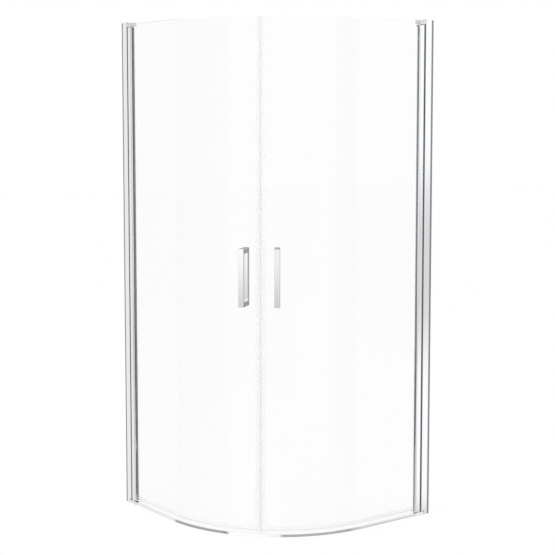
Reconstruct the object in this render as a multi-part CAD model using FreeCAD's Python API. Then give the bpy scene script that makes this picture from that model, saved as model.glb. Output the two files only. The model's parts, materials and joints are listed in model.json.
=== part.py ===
import FreeCAD, Part
import math
import os

# A quadrant shower enclosure: two glass doors, each flat and then quarter-round, hang on
# pivot hinges from two wall posts and close on each other at the diagonal.
#
# Frame: +Z is up and z = 0 is the floor that the enclosure stands on. The origin is the
# bottom centre of the box round it. The room's corner is at -X, +Y: the left wall face is
# x = -side_width / 2 and the right wall face is y = +side_width / 2.
#
# Only the left half is drawn, in plan coordinates (along, inward): along is the distance
# from the left room wall, inward the distance in from the outermost plane of the panels.
# The right half is its mirror image across the enclosure's diagonal.
#
# All lengths are in millimetres.

# ---- Overall size ----
side_width = 900.0  # along each room wall
height = 2000.0
outer_radius = 545.0  # of the round front, at the outermost plane
frame_thickness = 31.0  # of the wall posts, across the panels

# ---- Clearances ----
fixed_fit = 0.02  # pieces pressed, glued or clamped together
slide_fit = 0.2  # telescoping profiles
spigot_fit = 0.3  # spigots inside hollow profiles
running_fit = 0.05  # pivot pin in its bush, radial
axial_play = 0.05  # lower bush on its thrust washer
joint_gap = 0.5  # between butted frame pieces
soft_gap = 0.4  # soft seal to the face that turns past it
seam_gap = 0.2  # from each door's closing face to the diagonal
magnet_fit = 0.1  # magnet in its pocket
overlap = 1.0  # by which blocks that become one piece run into each other
same_place = 1e-6  # points and edges closer than this are taken as one

# ---- Wall channel: a U screwed to the room wall ----
channel_base = 2.0
channel_wall = 1.8
wall_screw_radius = 3.0
wall_screw_end = 100.0  # first and last hole from the channel's ends
wall_screw_count = 4

# ---- Post profile: slides over the channel and carries the hinges ----
post_start = 12.0  # along
post_wall = 2.0
post_web = 1.6
post_front_wall = 4.0
post_chamber = 6.4  # inside depth of the closed chamber
post_corner = 0.6  # rounding of its outer corners

# ---- Hinge profile: the door's upright, turning about the pivot ----
pivot_along = 53.5
pivot_inward = 10.0
head_radius = 10.0  # about the pivot, which makes the outer face flush with the post's
hinge_gap = 1.5  # between post and hinge profile
hinge_thickness = 23.0
hinge_end = 75.0  # along, of the jaw outside the glass
inner_jaw_end = 70.0  # along, of the jaw inside it
hinge_corner = 4.0
hinge_inner_corner = 2.0
hinge_bore_radius = 7.0
hinge_web = 4.7  # between bore and glass slot

# ---- Pivots ----
pin_radius = 4.0
pin_in_block = 10.0
pin_in_hinge = 25.0
bush_flange_radius = 8.5
bush_flange = 1.5
thrust_washer_radius = 8.0
block_height = 13.0
block_start = 29.5  # along
block_end = 76.0  # along
block_inset = 0.5  # from the frame's two faces
block_rounding = 1.0
lower_spigot = 27.0  # into the post, from the block's top
upper_spigot = 19.0  # into the post, from the bracket's underside
spigot_screw_inset = 11.0  # from each spigot's tip to its screw
bracket_height = 16.5
bracket_end = 74.0  # along
bracket_bridge_half = 7.5
bracket_bridge_drop = 2.0  # bridge above the bracket's underside
foot_gap = 4.5  # from the bottom block up to the hinge and the post
head_gap = 3.0  # from the hinge up to the top bracket
cap_thickness = 2.0  # top cap of post and channel
cap_plug = 8.0
lower_cap_thickness = 1.5
upper_cap_thickness = 2.5
upper_cap_rounding = 1.4
end_cap_plug = 3.0

# ---- Screws in the posts' inner faces ----
clamp_screw_along = 21.0
clamp_screw_end = 150.0
clamp_screw_count = 3
screw_radius = 1.9
screw_head_radius = 3.6
screw_head = 2.2
screw_head_rounding = 0.9
screw_length = 6.0
screw_tip_room = 1.0
cover_radius = 5.2
cover_depth = 3.2
cover_rounding = 0.9
cover_roof = 0.7

# ---- Hinge-side seal in the post's front groove ----
seal_neck = 1.0
seal_mouth_half = 1.5
seal_root = 1.4
seal_root_half = 2.4
seal_lip_half = 3.0

# ---- Glass ----
glass_thickness = 6.0
glass_bottom = 25.0
glass_top_gap = 5.0  # below the enclosure's top
glass_notch_along = 80.0  # the upper corner is cut away up to here, clear of the bracket
glass_notch_drop = 1.0  # below the upper end cap's plug
gasket_thickness = 1.2

# ---- Magnetic closing seal, measured back from the diagonal ----
magnet_holder_depth = 9.0
magnet_holder_half = 5.0
magnet_face = 1.0
magnet_depth = 4.0
magnet_half = 3.5
clip_wall = 1.2
clip_reach = 10.0
magnet_seal_bottom = 16.0

# ---- Bottom seal under each door ----
sweep_gap = 2.3  # above the threshold
sweep_wall = 1.0
sweep_base = 3.0
sweep_clip = 15.0  # up the glass from its lower edge
sweep_fin = 1.0
sweep_lean = 3.0  # the fin leans towards the shower
sweep_start = 77.0  # along

# ---- Threshold ----
threshold_height = 13.0
threshold_inset = 3.0
threshold_width = 21.0
threshold_wall = 1.5
threshold_edge = 2.0
threshold_tape = 1.0
threshold_tape_margin = 3.0
threshold_tongue = 20.0

# ---- Handles ----
handle_from_seam = 65.0  # along the glass's outer face
handle_middle = 1009.0  # height of its centre
handle_length = 224.0
handle_width = 21.0
handle_reach = 36.0  # off the glass
handle_bar = 9.0
handle_leg = 20.0
handle_edge = 0.8
stud_radius = 3.0
stud_in_handle = 15.0
sleeve_radius = 5.9
glass_hole_radius = 6.0
washer_thickness = 1.0
washer_margin = 1.0
grub_radius = 2.5
grub_length = 5.5
grub_reach = 8.0  # from the glass

# ---- Worked out from the values above ----
flat_length = side_width - outer_radius
middle = frame_thickness / 2
mid_radius = outer_radius - middle
glass_out = middle - glass_thickness / 2
glass_in = middle + glass_thickness / 2
glass_top = height - glass_top_gap
post_front = pivot_along - head_radius - hinge_gap
post_chamber_end = post_front - post_front_wall
post_chamber_start = post_chamber_end - post_chamber
foot_end = block_start - joint_gap
channel_out = post_wall + slide_fit
channel_in = frame_thickness - channel_out
hinge_bottom = block_height + foot_gap
post_top = height - cap_thickness
bracket_top = post_top - fixed_fit
bracket_bottom = bracket_top - bracket_height
hinge_top = bracket_bottom - head_gap
profile_bottom = hinge_bottom + lower_cap_thickness
profile_top = hinge_top - upper_cap_thickness
slot_floor = pivot_along + hinge_bore_radius + hinge_web
slot_half = glass_thickness / 2 + gasket_thickness + fixed_fit
glass_start = slot_floor + gasket_thickness + fixed_fit
glass_end = magnet_holder_depth + clip_wall
clip_end = glass_end + clip_reach
hinge_start = pivot_along - head_radius
hinge_face_out = pivot_inward - head_radius
hinge_face_in = hinge_face_out + hinge_thickness
slot_sides = (middle - slot_half, middle + slot_half)

UP = FreeCAD.Vector(0, 0, 1)
ARC_CENTRE = FreeCAD.Vector(flat_length - side_width / 2, side_width / 2 - flat_length, 0)
SEAM_ANGLE = -45.0
FLAT_ANGLE = -90.0
EVERYWHERE = (-height, 2 * height)  # a range of heights that cuts right through


def plan(along, inward, z=0.0):
    """A point of the left half, from its distance along the panel and in from its face."""
    return FreeCAD.Vector(along - side_width / 2, inward - side_width / 2, z)


def rounded_face(corners, place):
    """A flat face from corners (a, b) or (a, b, radius); place turns (a, b) into a point."""
    edges = []
    ends = []
    for i, corner in enumerate(corners):
        here = place(corner[0], corner[1])
        radius = corner[2] if len(corner) > 2 else 0.0
        if not radius:
            ends.append((here, here))
            continue
        before = place(*corners[i - 1][:2]) - here
        after = place(*corners[(i + 1) % len(corners)][:2]) - here
        before.normalize()
        after.normalize()
        half = before.getAngle(after) / 2
        bisector = before + after
        bisector.normalize()
        reach = radius / math.tan(half)
        arc_middle = here + bisector * (radius / math.sin(half) - radius)
        first = here + before * reach
        last = here + after * reach
        edges.append((i, Part.Arc(first, arc_middle, last).toShape()))
        ends.append((first, last))
    arcs = dict(edges)
    wire = []
    for i, (_, start) in enumerate(ends):
        if i in arcs:
            wire.append(arcs[i])
        end = ends[(i + 1) % len(ends)][0]
        if start.distanceToPoint(end) > same_place:
            wire.append(Part.LineSegment(start, end).toShape())
    return Part.Face(Part.Wire(Part.__sortEdges__(wire)))


def prism(corners, low, high):
    """An upright prism over a plan outline in (along, inward)."""
    face = rounded_face(corners, lambda along, inward: plan(along, inward, low))
    return face.extrude(UP * (high - low))


def slab(along, inward, heights, radius=0.0):
    """An upright block over a rectangle, each argument a (low, high) pair."""
    (a0, a1), (i0, i1), (low, high) = along, inward, heights
    return prism([(a0, i0, radius), (a1, i0, radius), (a1, i1, radius), (a0, i1, radius)], low, high)


def rod(radius, low, high):
    """An upright cylinder about the pivot."""
    return Part.makeCylinder(radius, high - low, plan(pivot_along, pivot_inward, low), UP)


def cross_rod(along, z, radius, inward_low, inward_high):
    """A cylinder across the frame's thickness."""
    base = plan(along, inward_low, z)
    return Part.makeCylinder(radius, inward_high - inward_low, base, FreeCAD.Vector(0, 1, 0))


def wall_rod(z, radius, along_low, along_high):
    """A cylinder square to the left room wall, on the frame's middle."""
    base = plan(along_low, middle, z)
    return Part.makeCylinder(radius, along_high - along_low, base, FreeCAD.Vector(1, 0, 0))


def on_arc(angle, inward, z):
    """A point of the round front, at an angle about its centre."""
    radius = outer_radius - inward
    turn = math.radians(angle)
    return ARC_CENTRE + FreeCAD.Vector(radius * math.cos(turn), radius * math.sin(turn), z)


def seam_angle(back):
    """The angle at a distance back from the diagonal, measured along the glass's middle."""
    return SEAM_ANGLE - math.degrees(back / mid_radius)


def arc_band(first_angle, last_angle, inward, heights):
    """An upright curved wall between two angles, inward and heights as (low, high) pairs."""
    (i0, i1), (low, high) = inward, heights
    half_way = (first_angle + last_angle) / 2
    outer = [on_arc(a, i0, low) for a in (first_angle, half_way, last_angle)]
    inner = [on_arc(a, i1, low) for a in (last_angle, half_way, first_angle)]
    edges = [
        Part.Arc(*outer).toShape(),
        Part.LineSegment(outer[2], inner[0]).toShape(),
        Part.Arc(*inner).toShape(),
        Part.LineSegment(inner[2], outer[0]).toShape(),
    ]
    return Part.Face(Part.Wire(edges)).extrude(UP * (high - low))


def band(start, back, inward, heights):
    """An upright wall from along = start, round the bend, to a distance back from the seam."""
    flat = slab((start, flat_length), inward, heights)
    bend = arc_band(FLAT_ANGLE, seam_angle(back), inward, heights)
    return flat.fuse(bend).removeSplitter()


def swept(section, start, back):
    """A section with corners in (inward, height) carried from along = start to the seam."""
    flat_face = rounded_face(section, lambda inward, z: plan(start, inward, z))
    bend_face = rounded_face(section, lambda inward, z: plan(flat_length, inward, z))
    turn = seam_angle(back) - FLAT_ANGLE
    flat = flat_face.extrude(FreeCAD.Vector(flat_length - start, 0, 0))
    bend = bend_face.revolve(ARC_CENTRE, UP, turn)
    return flat.fuse(bend).removeSplitter()


def mirrored(shape):
    """The right half's copy of a left-half shape, across the enclosure's diagonal."""
    return shape.mirror(FreeCAD.Vector(0, 0, 0), FreeCAD.Vector(1, 1, 0))


def whole_band(half):
    """A piece that runs through the seam, from its left half."""
    return half.fuse(mirrored(half)).removeSplitter()


def spread(count, end):
    """Heights of a row of screws, its first and last at a distance from the ends."""
    step = (height - 2 * end) / (count - 1)
    return [end + step * i for i in range(count)]


# ---- Frame pieces, fixed to the room ----
def wall_channel():
    """The U that is screwed to the wall; its mouth faces the post."""
    channel = slab((0, foot_end), (channel_out, channel_in), (0, post_top))
    inside = (channel_out + channel_wall, channel_in - channel_wall)
    channel = channel.cut(slab((channel_base, side_width), inside, EVERYWHERE))
    for z in spread(wall_screw_count, wall_screw_end):
        channel = channel.cut(wall_rod(z, wall_screw_radius, -channel_base, 2 * channel_base))
    for z in spread(clamp_screw_count, clamp_screw_end):
        channel = channel.cut(screw_hole(clamp_screw_along, z))
    return channel


def screw_hole(along, z):
    """The hole of a screw driven through the post's inner face."""
    reach = screw_length + screw_tip_room
    return cross_rod(along, z, screw_radius + fixed_fit, frame_thickness - reach, 2 * frame_thickness)


def seal_groove():
    """The T-shaped groove in the post's front, and the space that the seal's root fills."""
    mouth = slab(
        (post_front - seal_neck, post_front + seal_neck),
        (middle - seal_mouth_half, middle + seal_mouth_half),
        EVERYWHERE,
    )
    root = slab(
        (post_front - seal_neck - seal_root, post_front - seal_neck),
        (middle - seal_root_half, middle + seal_root_half),
        EVERYWHERE,
    )
    return mouth.fuse(root)


def post_profile():
    """The profile over the channel, with a closed chamber next to the hinge."""
    post = prism(
        [
            (post_start, 0.0),
            (post_front, 0.0, post_corner),
            (post_front, frame_thickness, post_corner),
            (post_start, frame_thickness),
        ],
        0,
        post_top,
    )
    inside = (post_wall, frame_thickness - post_wall)
    mouth = slab((0, post_chamber_start - post_web), inside, EVERYWHERE)
    chamber = slab((post_chamber_start, post_chamber_end), inside, EVERYWHERE)
    foot_notch = slab((foot_end, side_width), (-side_width, side_width), (-height, hinge_bottom))
    bridge_notch = slab(
        (post_chamber_end - overlap, side_width),
        (middle - bracket_bridge_half - fixed_fit, middle + bracket_bridge_half + fixed_fit),
        (bracket_bottom + bracket_bridge_drop - fixed_fit, 2 * height),
    )
    post = post.cut(mouth).cut(chamber).cut(seal_groove()).cut(foot_notch).cut(bridge_notch)
    for z in spread(clamp_screw_count, clamp_screw_end):
        post = post.cut(screw_hole(clamp_screw_along, z))
    for z in bracket_screw_heights():
        post = post.cut(screw_hole(bracket_screw_along(), z))
    return post


def spigot_walls():
    """Plan extents of a spigot inside the post's chamber, as two (low, high) pairs."""
    along = (post_chamber_start + spigot_fit, post_chamber_end - spigot_fit)
    inward = (post_wall + spigot_fit, frame_thickness - post_wall - spigot_fit)
    return along, inward


def bracket_screw_along():
    """Along position of the screws that hold the two pivot castings' spigots."""
    return (post_chamber_start + post_chamber_end) / 2


def bracket_screw_heights():
    """Heights of the screws in the lower and upper spigot."""
    lower = block_height + lower_spigot - spigot_screw_inset
    upper = bracket_bottom - upper_spigot + spigot_screw_inset
    return lower, upper


def bottom_pivot_block():
    """The foot that carries the lower pin, the post and the threshold's end."""
    sides = (block_inset, frame_thickness - block_inset)
    block = slab((block_start, block_end), sides, (0, block_height), block_rounding)
    inside = (channel_out + channel_wall + slide_fit, channel_in - channel_wall - slide_fit)
    tongue = slab((channel_base + slide_fit, block_start + 2 * block_rounding), inside, (0, block_height))
    along, inward = spigot_walls()
    spigot = slab(along, inward, (block_height - overlap, block_height + lower_spigot))
    strip_inside = (
        threshold_inset + threshold_wall + spigot_fit,
        threshold_inset + threshold_width - threshold_wall - spigot_fit,
    )
    strip_heights = (
        threshold_tape + threshold_wall + spigot_fit,
        threshold_height - threshold_wall - spigot_fit,
    )
    strip_tongue = slab((block_end - overlap, block_end + threshold_tongue), strip_inside, strip_heights)
    block = block.fuse([tongue, spigot, strip_tongue]).removeSplitter()
    block = block.cut(rod(pin_radius + fixed_fit, block_height - pin_in_block, 2 * block_height))
    return block.cut(screw_hole(bracket_screw_along(), bracket_screw_heights()[0]))


def top_pivot_bracket():
    """The arm over the hinge, with a bridge and a spigot into the post's chamber."""
    sides = (block_inset, frame_thickness - block_inset)
    heights = (bracket_bottom, bracket_top)
    arm = slab((post_front + hinge_gap / 2, bracket_end), sides, heights, block_rounding)
    bridge_heights = (bracket_bottom + bracket_bridge_drop, bracket_top)
    bridge_sides = (middle - bracket_bridge_half, middle + bracket_bridge_half)
    along, inward = spigot_walls()
    bridge = slab((along[1] - overlap, post_front + hinge_gap + overlap), bridge_sides, bridge_heights)
    spigot = slab(along, inward, (bracket_bottom - upper_spigot, bracket_top))
    bracket = arm.fuse([bridge, spigot]).removeSplitter()
    bracket = bracket.cut(rod(pin_radius + fixed_fit, 0, bracket_bottom + pin_in_block))
    return bracket.cut(screw_hole(bracket_screw_along(), bracket_screw_heights()[1]))


def pivot_pins():
    """The lower and the upper pivot pin, pressed into the block and the bracket."""
    lower = rod(pin_radius, block_height - pin_in_block, hinge_bottom + pin_in_hinge)
    upper = rod(pin_radius, hinge_top - pin_in_hinge, bracket_bottom + pin_in_block)
    return Part.makeCompound([lower, upper])


def thrust_washer():
    """The ring that the door's weight turns on."""
    top = hinge_bottom - bush_flange - axial_play
    ring = rod(thrust_washer_radius, block_height, top)
    return ring.cut(rod(pin_radius + fixed_fit, 0, height))


def post_top_cap():
    """The cover over the channel and the post, with a plug between the channel's legs."""
    plate = slab((0, post_front), (0, frame_thickness), (post_top, height))
    inside = (channel_out + channel_wall + slide_fit, channel_in - channel_wall - slide_fit)
    along = (channel_base + slide_fit, foot_end - slide_fit)
    plug = slab(along, inside, (post_top - cap_plug, post_top + cap_thickness / 2))
    return plate.fuse(plug).removeSplitter()


def driven_screw(along, z):
    """A pan-head screw through the post's inner face."""
    shank = cross_rod(along, z, screw_radius, frame_thickness - screw_length, frame_thickness)
    head = cross_rod(along, z, screw_head_radius, frame_thickness, frame_thickness + screw_head)
    rim = [e for e in head.Edges if e.BoundBox.YLength < same_place]
    top = max(rim, key=lambda e: e.BoundBox.YMin)
    return head.makeFillet(screw_head_rounding, [top]).fuse(shank).removeSplitter()


def clamp_screws():
    """The screws that lock the post on the channel."""
    heights = spread(clamp_screw_count, clamp_screw_end)
    return Part.makeCompound([driven_screw(clamp_screw_along, z) for z in heights])


def bracket_screws():
    """The screws that hold the two spigots in the post."""
    return Part.makeCompound([driven_screw(bracket_screw_along(), z) for z in bracket_screw_heights()])


def screw_covers():
    """Snap-on covers over the clamp screws' heads."""
    covers = []
    for z in spread(clamp_screw_count, clamp_screw_end):
        top = frame_thickness + cover_depth
        shell = cross_rod(clamp_screw_along, z, cover_radius, frame_thickness, top)
        rim = max(shell.Edges, key=lambda e: e.BoundBox.YMin)
        shell = shell.makeFillet(cover_rounding, [rim])
        room = cross_rod(clamp_screw_along, z, screw_head_radius + fixed_fit, 0, top - cover_roof)
        covers.append(shell.cut(room))
    return Part.makeCompound(covers)


def hinge_seal():
    """The lip in the gap between post and hinge, held in the post's groove."""
    low = hinge_bottom
    high = bracket_bottom
    lip_end = post_front + hinge_gap - soft_gap
    neck = slab(
        (post_front - seal_neck - fixed_fit, post_front + fixed_fit),
        (middle - seal_mouth_half + fixed_fit, middle + seal_mouth_half - fixed_fit),
        (low, high),
    )
    root = slab(
        (post_front - seal_neck - seal_root + fixed_fit, post_front - seal_neck - fixed_fit),
        (middle - seal_root_half + fixed_fit, middle + seal_root_half - fixed_fit),
        (low, high),
    )
    lip_sides = (middle - seal_lip_half, middle + seal_lip_half)
    lip = slab((post_front + fixed_fit, lip_end), lip_sides, (low, high))
    return neck.fuse([root, lip]).removeSplitter()


# ---- Door pieces ----
def hinge_outline():
    """The hinge profile's plan: round about the pivot, with a shorter jaw inside the glass."""
    return [
        (hinge_start, hinge_face_out, head_radius),
        (hinge_end, hinge_face_out, hinge_corner),
        (hinge_end, slot_sides[1]),
        (inner_jaw_end, slot_sides[1]),
        (inner_jaw_end, hinge_face_in, hinge_inner_corner),
        (hinge_start, hinge_face_in, hinge_inner_corner),
    ]


def hinge_profile():
    """The door's upright between its end caps, with a bore for the pins and a slot for the glass."""
    profile = prism(hinge_outline(), profile_bottom, profile_top)
    slot = slab((slot_floor, side_width), slot_sides, EVERYWHERE)
    return profile.cut(rod(hinge_bore_radius, *EVERYWHERE)).cut(slot)


def end_cap(low, high, plug_low, plug_high):
    """A cap over one end of the hinge profile, with a plug in the glass slot."""
    plate = prism(hinge_outline(), low, high)
    plug_half = slot_half - slide_fit
    along = (slot_floor + slide_fit, hinge_end - slide_fit)
    plug = slab(along, (middle - plug_half, middle + plug_half), (plug_low, plug_high))
    cap = plate.fuse(plug).removeSplitter()
    return cap.cut(rod(hinge_bore_radius, *EVERYWHERE))


def hinge_lower_cap():
    """The cap under the hinge profile."""
    return end_cap(hinge_bottom, profile_bottom, hinge_bottom, profile_bottom + end_cap_plug)


def hinge_upper_cap():
    """The cap on top of the hinge profile, with a rounded rim."""
    cap = end_cap(profile_top, hinge_top, profile_top - end_cap_plug, hinge_top)
    bore_middle = plan(pivot_along, pivot_inward, hinge_top)
    rim = [
        e
        for e in cap.Edges
        if e.BoundBox.ZMin > hinge_top - same_place
        and e.CenterOfMass.distanceToPoint(bore_middle) > same_place
    ]
    return cap.makeFillet(upper_cap_rounding, rim)


def hinge_bushes():
    """The flanged bushes pressed into the two ends of the hinge's bore."""
    bushes = []
    for end, way in ((hinge_bottom, 1), (hinge_top, -1)):
        sleeve_low, sleeve_high = sorted((end, end + way * pin_in_hinge))
        flange_low, flange_high = sorted((end - way * bush_flange, end))
        sleeve = rod(hinge_bore_radius - fixed_fit, sleeve_low, sleeve_high)
        flange = rod(bush_flange_radius, flange_low, flange_high)
        bush = sleeve.fuse(flange).removeSplitter()
        bushes.append(bush.cut(rod(pin_radius + running_fit, *EVERYWHERE)))
    return Part.makeCompound(bushes)


def handle_centres():
    """Heights of the two studs of each handle."""
    reach = (handle_length - handle_leg) / 2
    return (handle_middle - reach, handle_middle + reach)


def handle_angle():
    """Where the handles stand on the round front."""
    return SEAM_ANGLE - math.degrees(handle_from_seam / (outer_radius - glass_out))


def radial(shape):
    """Turns a shape drawn with +X outwards from the arc's centre to the handles' place."""
    placed = shape.copy()
    placed.rotate(FreeCAD.Vector(0, 0, 0), UP, handle_angle())
    placed.translate(ARC_CENTRE)
    return placed


def radial_rod(z, radius, inward_low, inward_high):
    """A cylinder square to the glass at the handles."""
    base = FreeCAD.Vector(outer_radius - inward_high, 0, z)
    return Part.makeCylinder(radius, inward_high - inward_low, base, FreeCAD.Vector(1, 0, 0))


def glass_panel():
    """The door's glass, notched clear of the top bracket and drilled for the handles."""
    glass = band(glass_start, glass_end, (glass_out, glass_in), (glass_bottom, glass_top))
    notch_low = profile_top - end_cap_plug - glass_notch_drop
    notch = slab((0, glass_notch_along), (0, frame_thickness), (notch_low, 2 * height))
    glass = glass.cut(notch)
    for z in handle_centres():
        hole = radial_rod(z, glass_hole_radius, glass_out - glass_thickness, glass_in + glass_thickness)
        glass = glass.cut(radial(hole))
    return glass


def glass_gasket():
    """The U-shaped gasket round the glass's hinge edge, inside the slot."""
    low = profile_bottom + end_cap_plug + fixed_fit
    high = profile_top - end_cap_plug - fixed_fit
    outer_half = slot_half - fixed_fit
    inner_half = glass_thickness / 2 + fixed_fit
    floor = slot_floor + fixed_fit
    outer = slab((floor, hinge_end), (middle - outer_half, middle), (low, high))
    outer = outer.fuse(slab((floor, inner_jaw_end), (middle, middle + outer_half), (low, high)))
    inner = slab(
        (glass_start - fixed_fit, side_width),
        (middle - inner_half, middle + inner_half),
        (glass_bottom - fixed_fit, 2 * height),
    )
    return outer.removeSplitter().cut(inner)


def magnet_pocket(grow):
    """The magnet strip's own shape, or with grow the pocket round it."""
    first = seam_gap + magnet_face
    inward = (middle - magnet_half - grow, middle + magnet_half + grow)
    angles = (seam_angle(first + magnet_depth + grow), seam_angle(first - grow))
    heights = (magnet_seal_bottom - grow, glass_top + grow)
    return arc_band(*angles, inward, heights)


def magnet_seal():
    """The clip-on closing profile: a magnet holder, and two arms along the glass."""
    heights = (magnet_seal_bottom, glass_top)
    holder_sides = (middle - magnet_holder_half, middle + magnet_holder_half)
    holder = arc_band(seam_angle(glass_end - fixed_fit), seam_angle(seam_gap), holder_sides, heights)
    seal = holder
    arm_end = glass_thickness / 2 + clip_wall
    for side in (-1, 1):
        near, far = sorted((middle + side * (glass_thickness / 2 + fixed_fit), middle + side * arm_end))
        arm = arc_band(seam_angle(clip_end), seam_angle(magnet_holder_depth), (near, far), heights)
        seal = seal.fuse(arm)
    return seal.removeSplitter().cut(magnet_pocket(magnet_fit))


def magnet_strip():
    """The flexible magnet inside the closing profile."""
    return magnet_pocket(0.0)


def bottom_seal():
    """The clear sweep under the door: a clip on the glass and a fin above the threshold."""
    half = glass_thickness / 2 + fixed_fit
    out_face, in_face = middle - half - sweep_wall, middle + half + sweep_wall
    base_low, base_high = glass_bottom - sweep_base, glass_bottom - fixed_fit
    top = glass_bottom + sweep_clip
    tip = threshold_height + sweep_gap
    section = [
        (middle + sweep_lean, tip),
        (middle + sweep_lean + sweep_fin, tip),
        (middle + sweep_fin, base_low),
        (in_face, base_low),
        (in_face, top),
        (middle + half, top),
        (middle + half, base_high),
        (middle - half, base_high),
        (middle - half, top),
        (out_face, top),
        (out_face, base_low),
        (middle, base_low),
    ]
    return swept(section, sweep_start, clip_end + joint_gap)


def grub_holes():
    """Heights of the grub screws' mouths in the inner handle's two legs."""
    low = handle_middle - handle_length / 2
    return (low, low + handle_length - handle_leg)


def seat_gap(inward):
    """How far a flat washer stands off the curved glass so that its edges clear it."""
    rise = handle_width**2 / 8 / (outer_radius - inward)
    return rise + fixed_fit


def handle_body(inward_face, way):
    """A square D-handle off one glass face; way is -1 outside and +1 inside."""
    low = handle_middle - handle_length / 2
    high = low + handle_length
    foot = seat_gap(inward_face) + washer_thickness + fixed_fit

    def place(off, z):
        return FreeCAD.Vector(outer_radius - inward_face - way * off, -handle_width / 2, z)

    across = FreeCAD.Vector(0, handle_width, 0)
    body = rounded_face([(foot, low), (handle_reach, low), (handle_reach, high), (foot, high)], place)
    room_high = high - handle_leg
    room = rounded_face(
        [
            (-handle_reach, low + handle_leg),
            (handle_reach - handle_bar, low + handle_leg),
            (handle_reach - handle_bar, room_high),
            (-handle_reach, room_high),
        ],
        place,
    )
    body = body.extrude(across).cut(room.extrude(across))
    body = body.makeFillet(handle_edge, body.Edges)
    for z in handle_centres():
        first, last = sorted((inward_face, inward_face + way * (foot + stud_in_handle)))
        body = body.cut(radial_rod(z, stud_radius + fixed_fit, first, last))
    if way > 0:
        for z in grub_holes():
            body = body.cut(grub(z - grub_length, 2 * grub_length, grub_radius + fixed_fit))
            body = body.cut(grub(z, handle_leg / 2, grub_radius + fixed_fit))
    return radial(body)


def grub(z, length, radius):
    """A small upright cylinder that meets the stud in an inner handle's leg."""
    base = FreeCAD.Vector(outer_radius - glass_in - grub_reach, 0, z)
    return Part.makeCylinder(radius, length, base, UP)


def handle_grub_screws():
    """The set screws that lock the inner handle on its studs."""
    reach = handle_leg / 2 - stud_radius - grub_length - fixed_fit
    screws = [radial(grub(z + reach, grub_length, grub_radius)) for z in grub_holes()]
    return Part.makeCompound(screws)


def outer_handle():
    """The handle outside the shower."""
    return handle_body(glass_out, -1)


def inner_handle():
    """The handle inside the shower."""
    return handle_body(glass_in, 1)


def handle_studs():
    """The studs that draw the two handles together through the glass."""
    outer_end = glass_out - seat_gap(glass_out) - washer_thickness - stud_in_handle
    inner_end = glass_in + seat_gap(glass_in) + washer_thickness + stud_in_handle
    studs = [radial(radial_rod(z, stud_radius, outer_end, inner_end)) for z in handle_centres()]
    return Part.makeCompound(studs)


def handle_sleeves():
    """The plastic sleeves between stud and glass."""
    sleeves = []
    for z in handle_centres():
        sleeve = radial_rod(z, sleeve_radius, glass_out, glass_in)
        bore = radial_rod(z, stud_radius + fixed_fit, 0, frame_thickness)
        sleeves.append(radial(sleeve.cut(bore)))
    return Part.makeCompound(sleeves)


def handle_washers():
    """The soft pads between the handles' legs and the glass."""
    pads = []
    size = (handle_leg - 2 * washer_margin, handle_width - 2 * washer_margin)
    for z in handle_centres():
        for face, way in ((glass_out, -1), (glass_in, 1)):
            near = outer_radius - face - way * seat_gap(face)
            far = near - way * washer_thickness
            corner = FreeCAD.Vector(min(near, far), -size[1] / 2, z - size[0] / 2)
            pad = Part.makeBox(washer_thickness, size[1], size[0], corner)
            bore = radial_rod(z, stud_radius + fixed_fit, -frame_thickness, 2 * frame_thickness)
            pads.append(radial(pad.cut(bore)))
    return Part.makeCompound(pads)


# ---- Pieces that run through the seam ----
def threshold_section():
    """The hollow strip's outline and its hollow, in (inward, height)."""
    out_face = threshold_inset
    in_face = threshold_inset + threshold_width
    outline = [
        (out_face, threshold_tape),
        (in_face, threshold_tape),
        (in_face, threshold_height, threshold_edge),
        (out_face, threshold_height, threshold_edge),
    ]
    hollow = [
        (out_face + threshold_wall, threshold_tape + threshold_wall),
        (in_face - threshold_wall, threshold_tape + threshold_wall),
        (in_face - threshold_wall, threshold_height - threshold_wall),
        (out_face + threshold_wall, threshold_height - threshold_wall),
    ]
    return outline, hollow


def threshold_strip():
    """The curved strip on the floor between the two bottom blocks."""
    outline, hollow = threshold_section()
    start = block_end + joint_gap
    half = swept(outline, start, 0.0).cut(swept(hollow, start, 0.0))
    return whole_band(half)


def threshold_bedding():
    """The sealing tape under the threshold."""
    inward = (
        threshold_inset + threshold_tape_margin,
        threshold_inset + threshold_width - threshold_tape_margin,
    )
    return whole_band(band(block_end + joint_gap, 0.0, inward, (0.0, threshold_tape)))


HALF_PIECES = {
    "wall_channel": wall_channel,
    "post_profile": post_profile,
    "post_top_cap": post_top_cap,
    "top_pivot_bracket": top_pivot_bracket,
    "bottom_pivot_block": bottom_pivot_block,
    "pivot_pins": pivot_pins,
    "thrust_washer": thrust_washer,
    "clamp_screws": clamp_screws,
    "bracket_screws": bracket_screws,
    "screw_covers": screw_covers,
    "hinge_seal": hinge_seal,
    "hinge_profile": hinge_profile,
    "hinge_lower_cap": hinge_lower_cap,
    "hinge_upper_cap": hinge_upper_cap,
    "hinge_bushes": hinge_bushes,
    "glass_panel": glass_panel,
    "glass_gasket": glass_gasket,
    "magnet_seal": magnet_seal,
    "magnet_strip": magnet_strip,
    "bottom_seal": bottom_seal,
    "outer_handle": outer_handle,
    "inner_handle": inner_handle,
    "handle_studs": handle_studs,
    "handle_sleeves": handle_sleeves,
    "handle_washers": handle_washers,
    "handle_grub_screws": handle_grub_screws,
}
WHOLE_PIECES = {
    "threshold_strip": threshold_strip,
    "threshold_bedding": threshold_bedding,
}


def export(shape, name):
    """Writes one piece to its own file."""
    shape.exportStep(os.path.join("parts", name + ".step"))


def main():
    """Builds each piece once and writes it for the left side, the right side or both."""
    os.makedirs("parts", exist_ok=True)
    for name, make in HALF_PIECES.items():
        left = make()
        export(left, "left_" + name)
        export(mirrored(left), "right_" + name)
    for name, make in WHOLE_PIECES.items():
        export(make(), name)


main()
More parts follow.
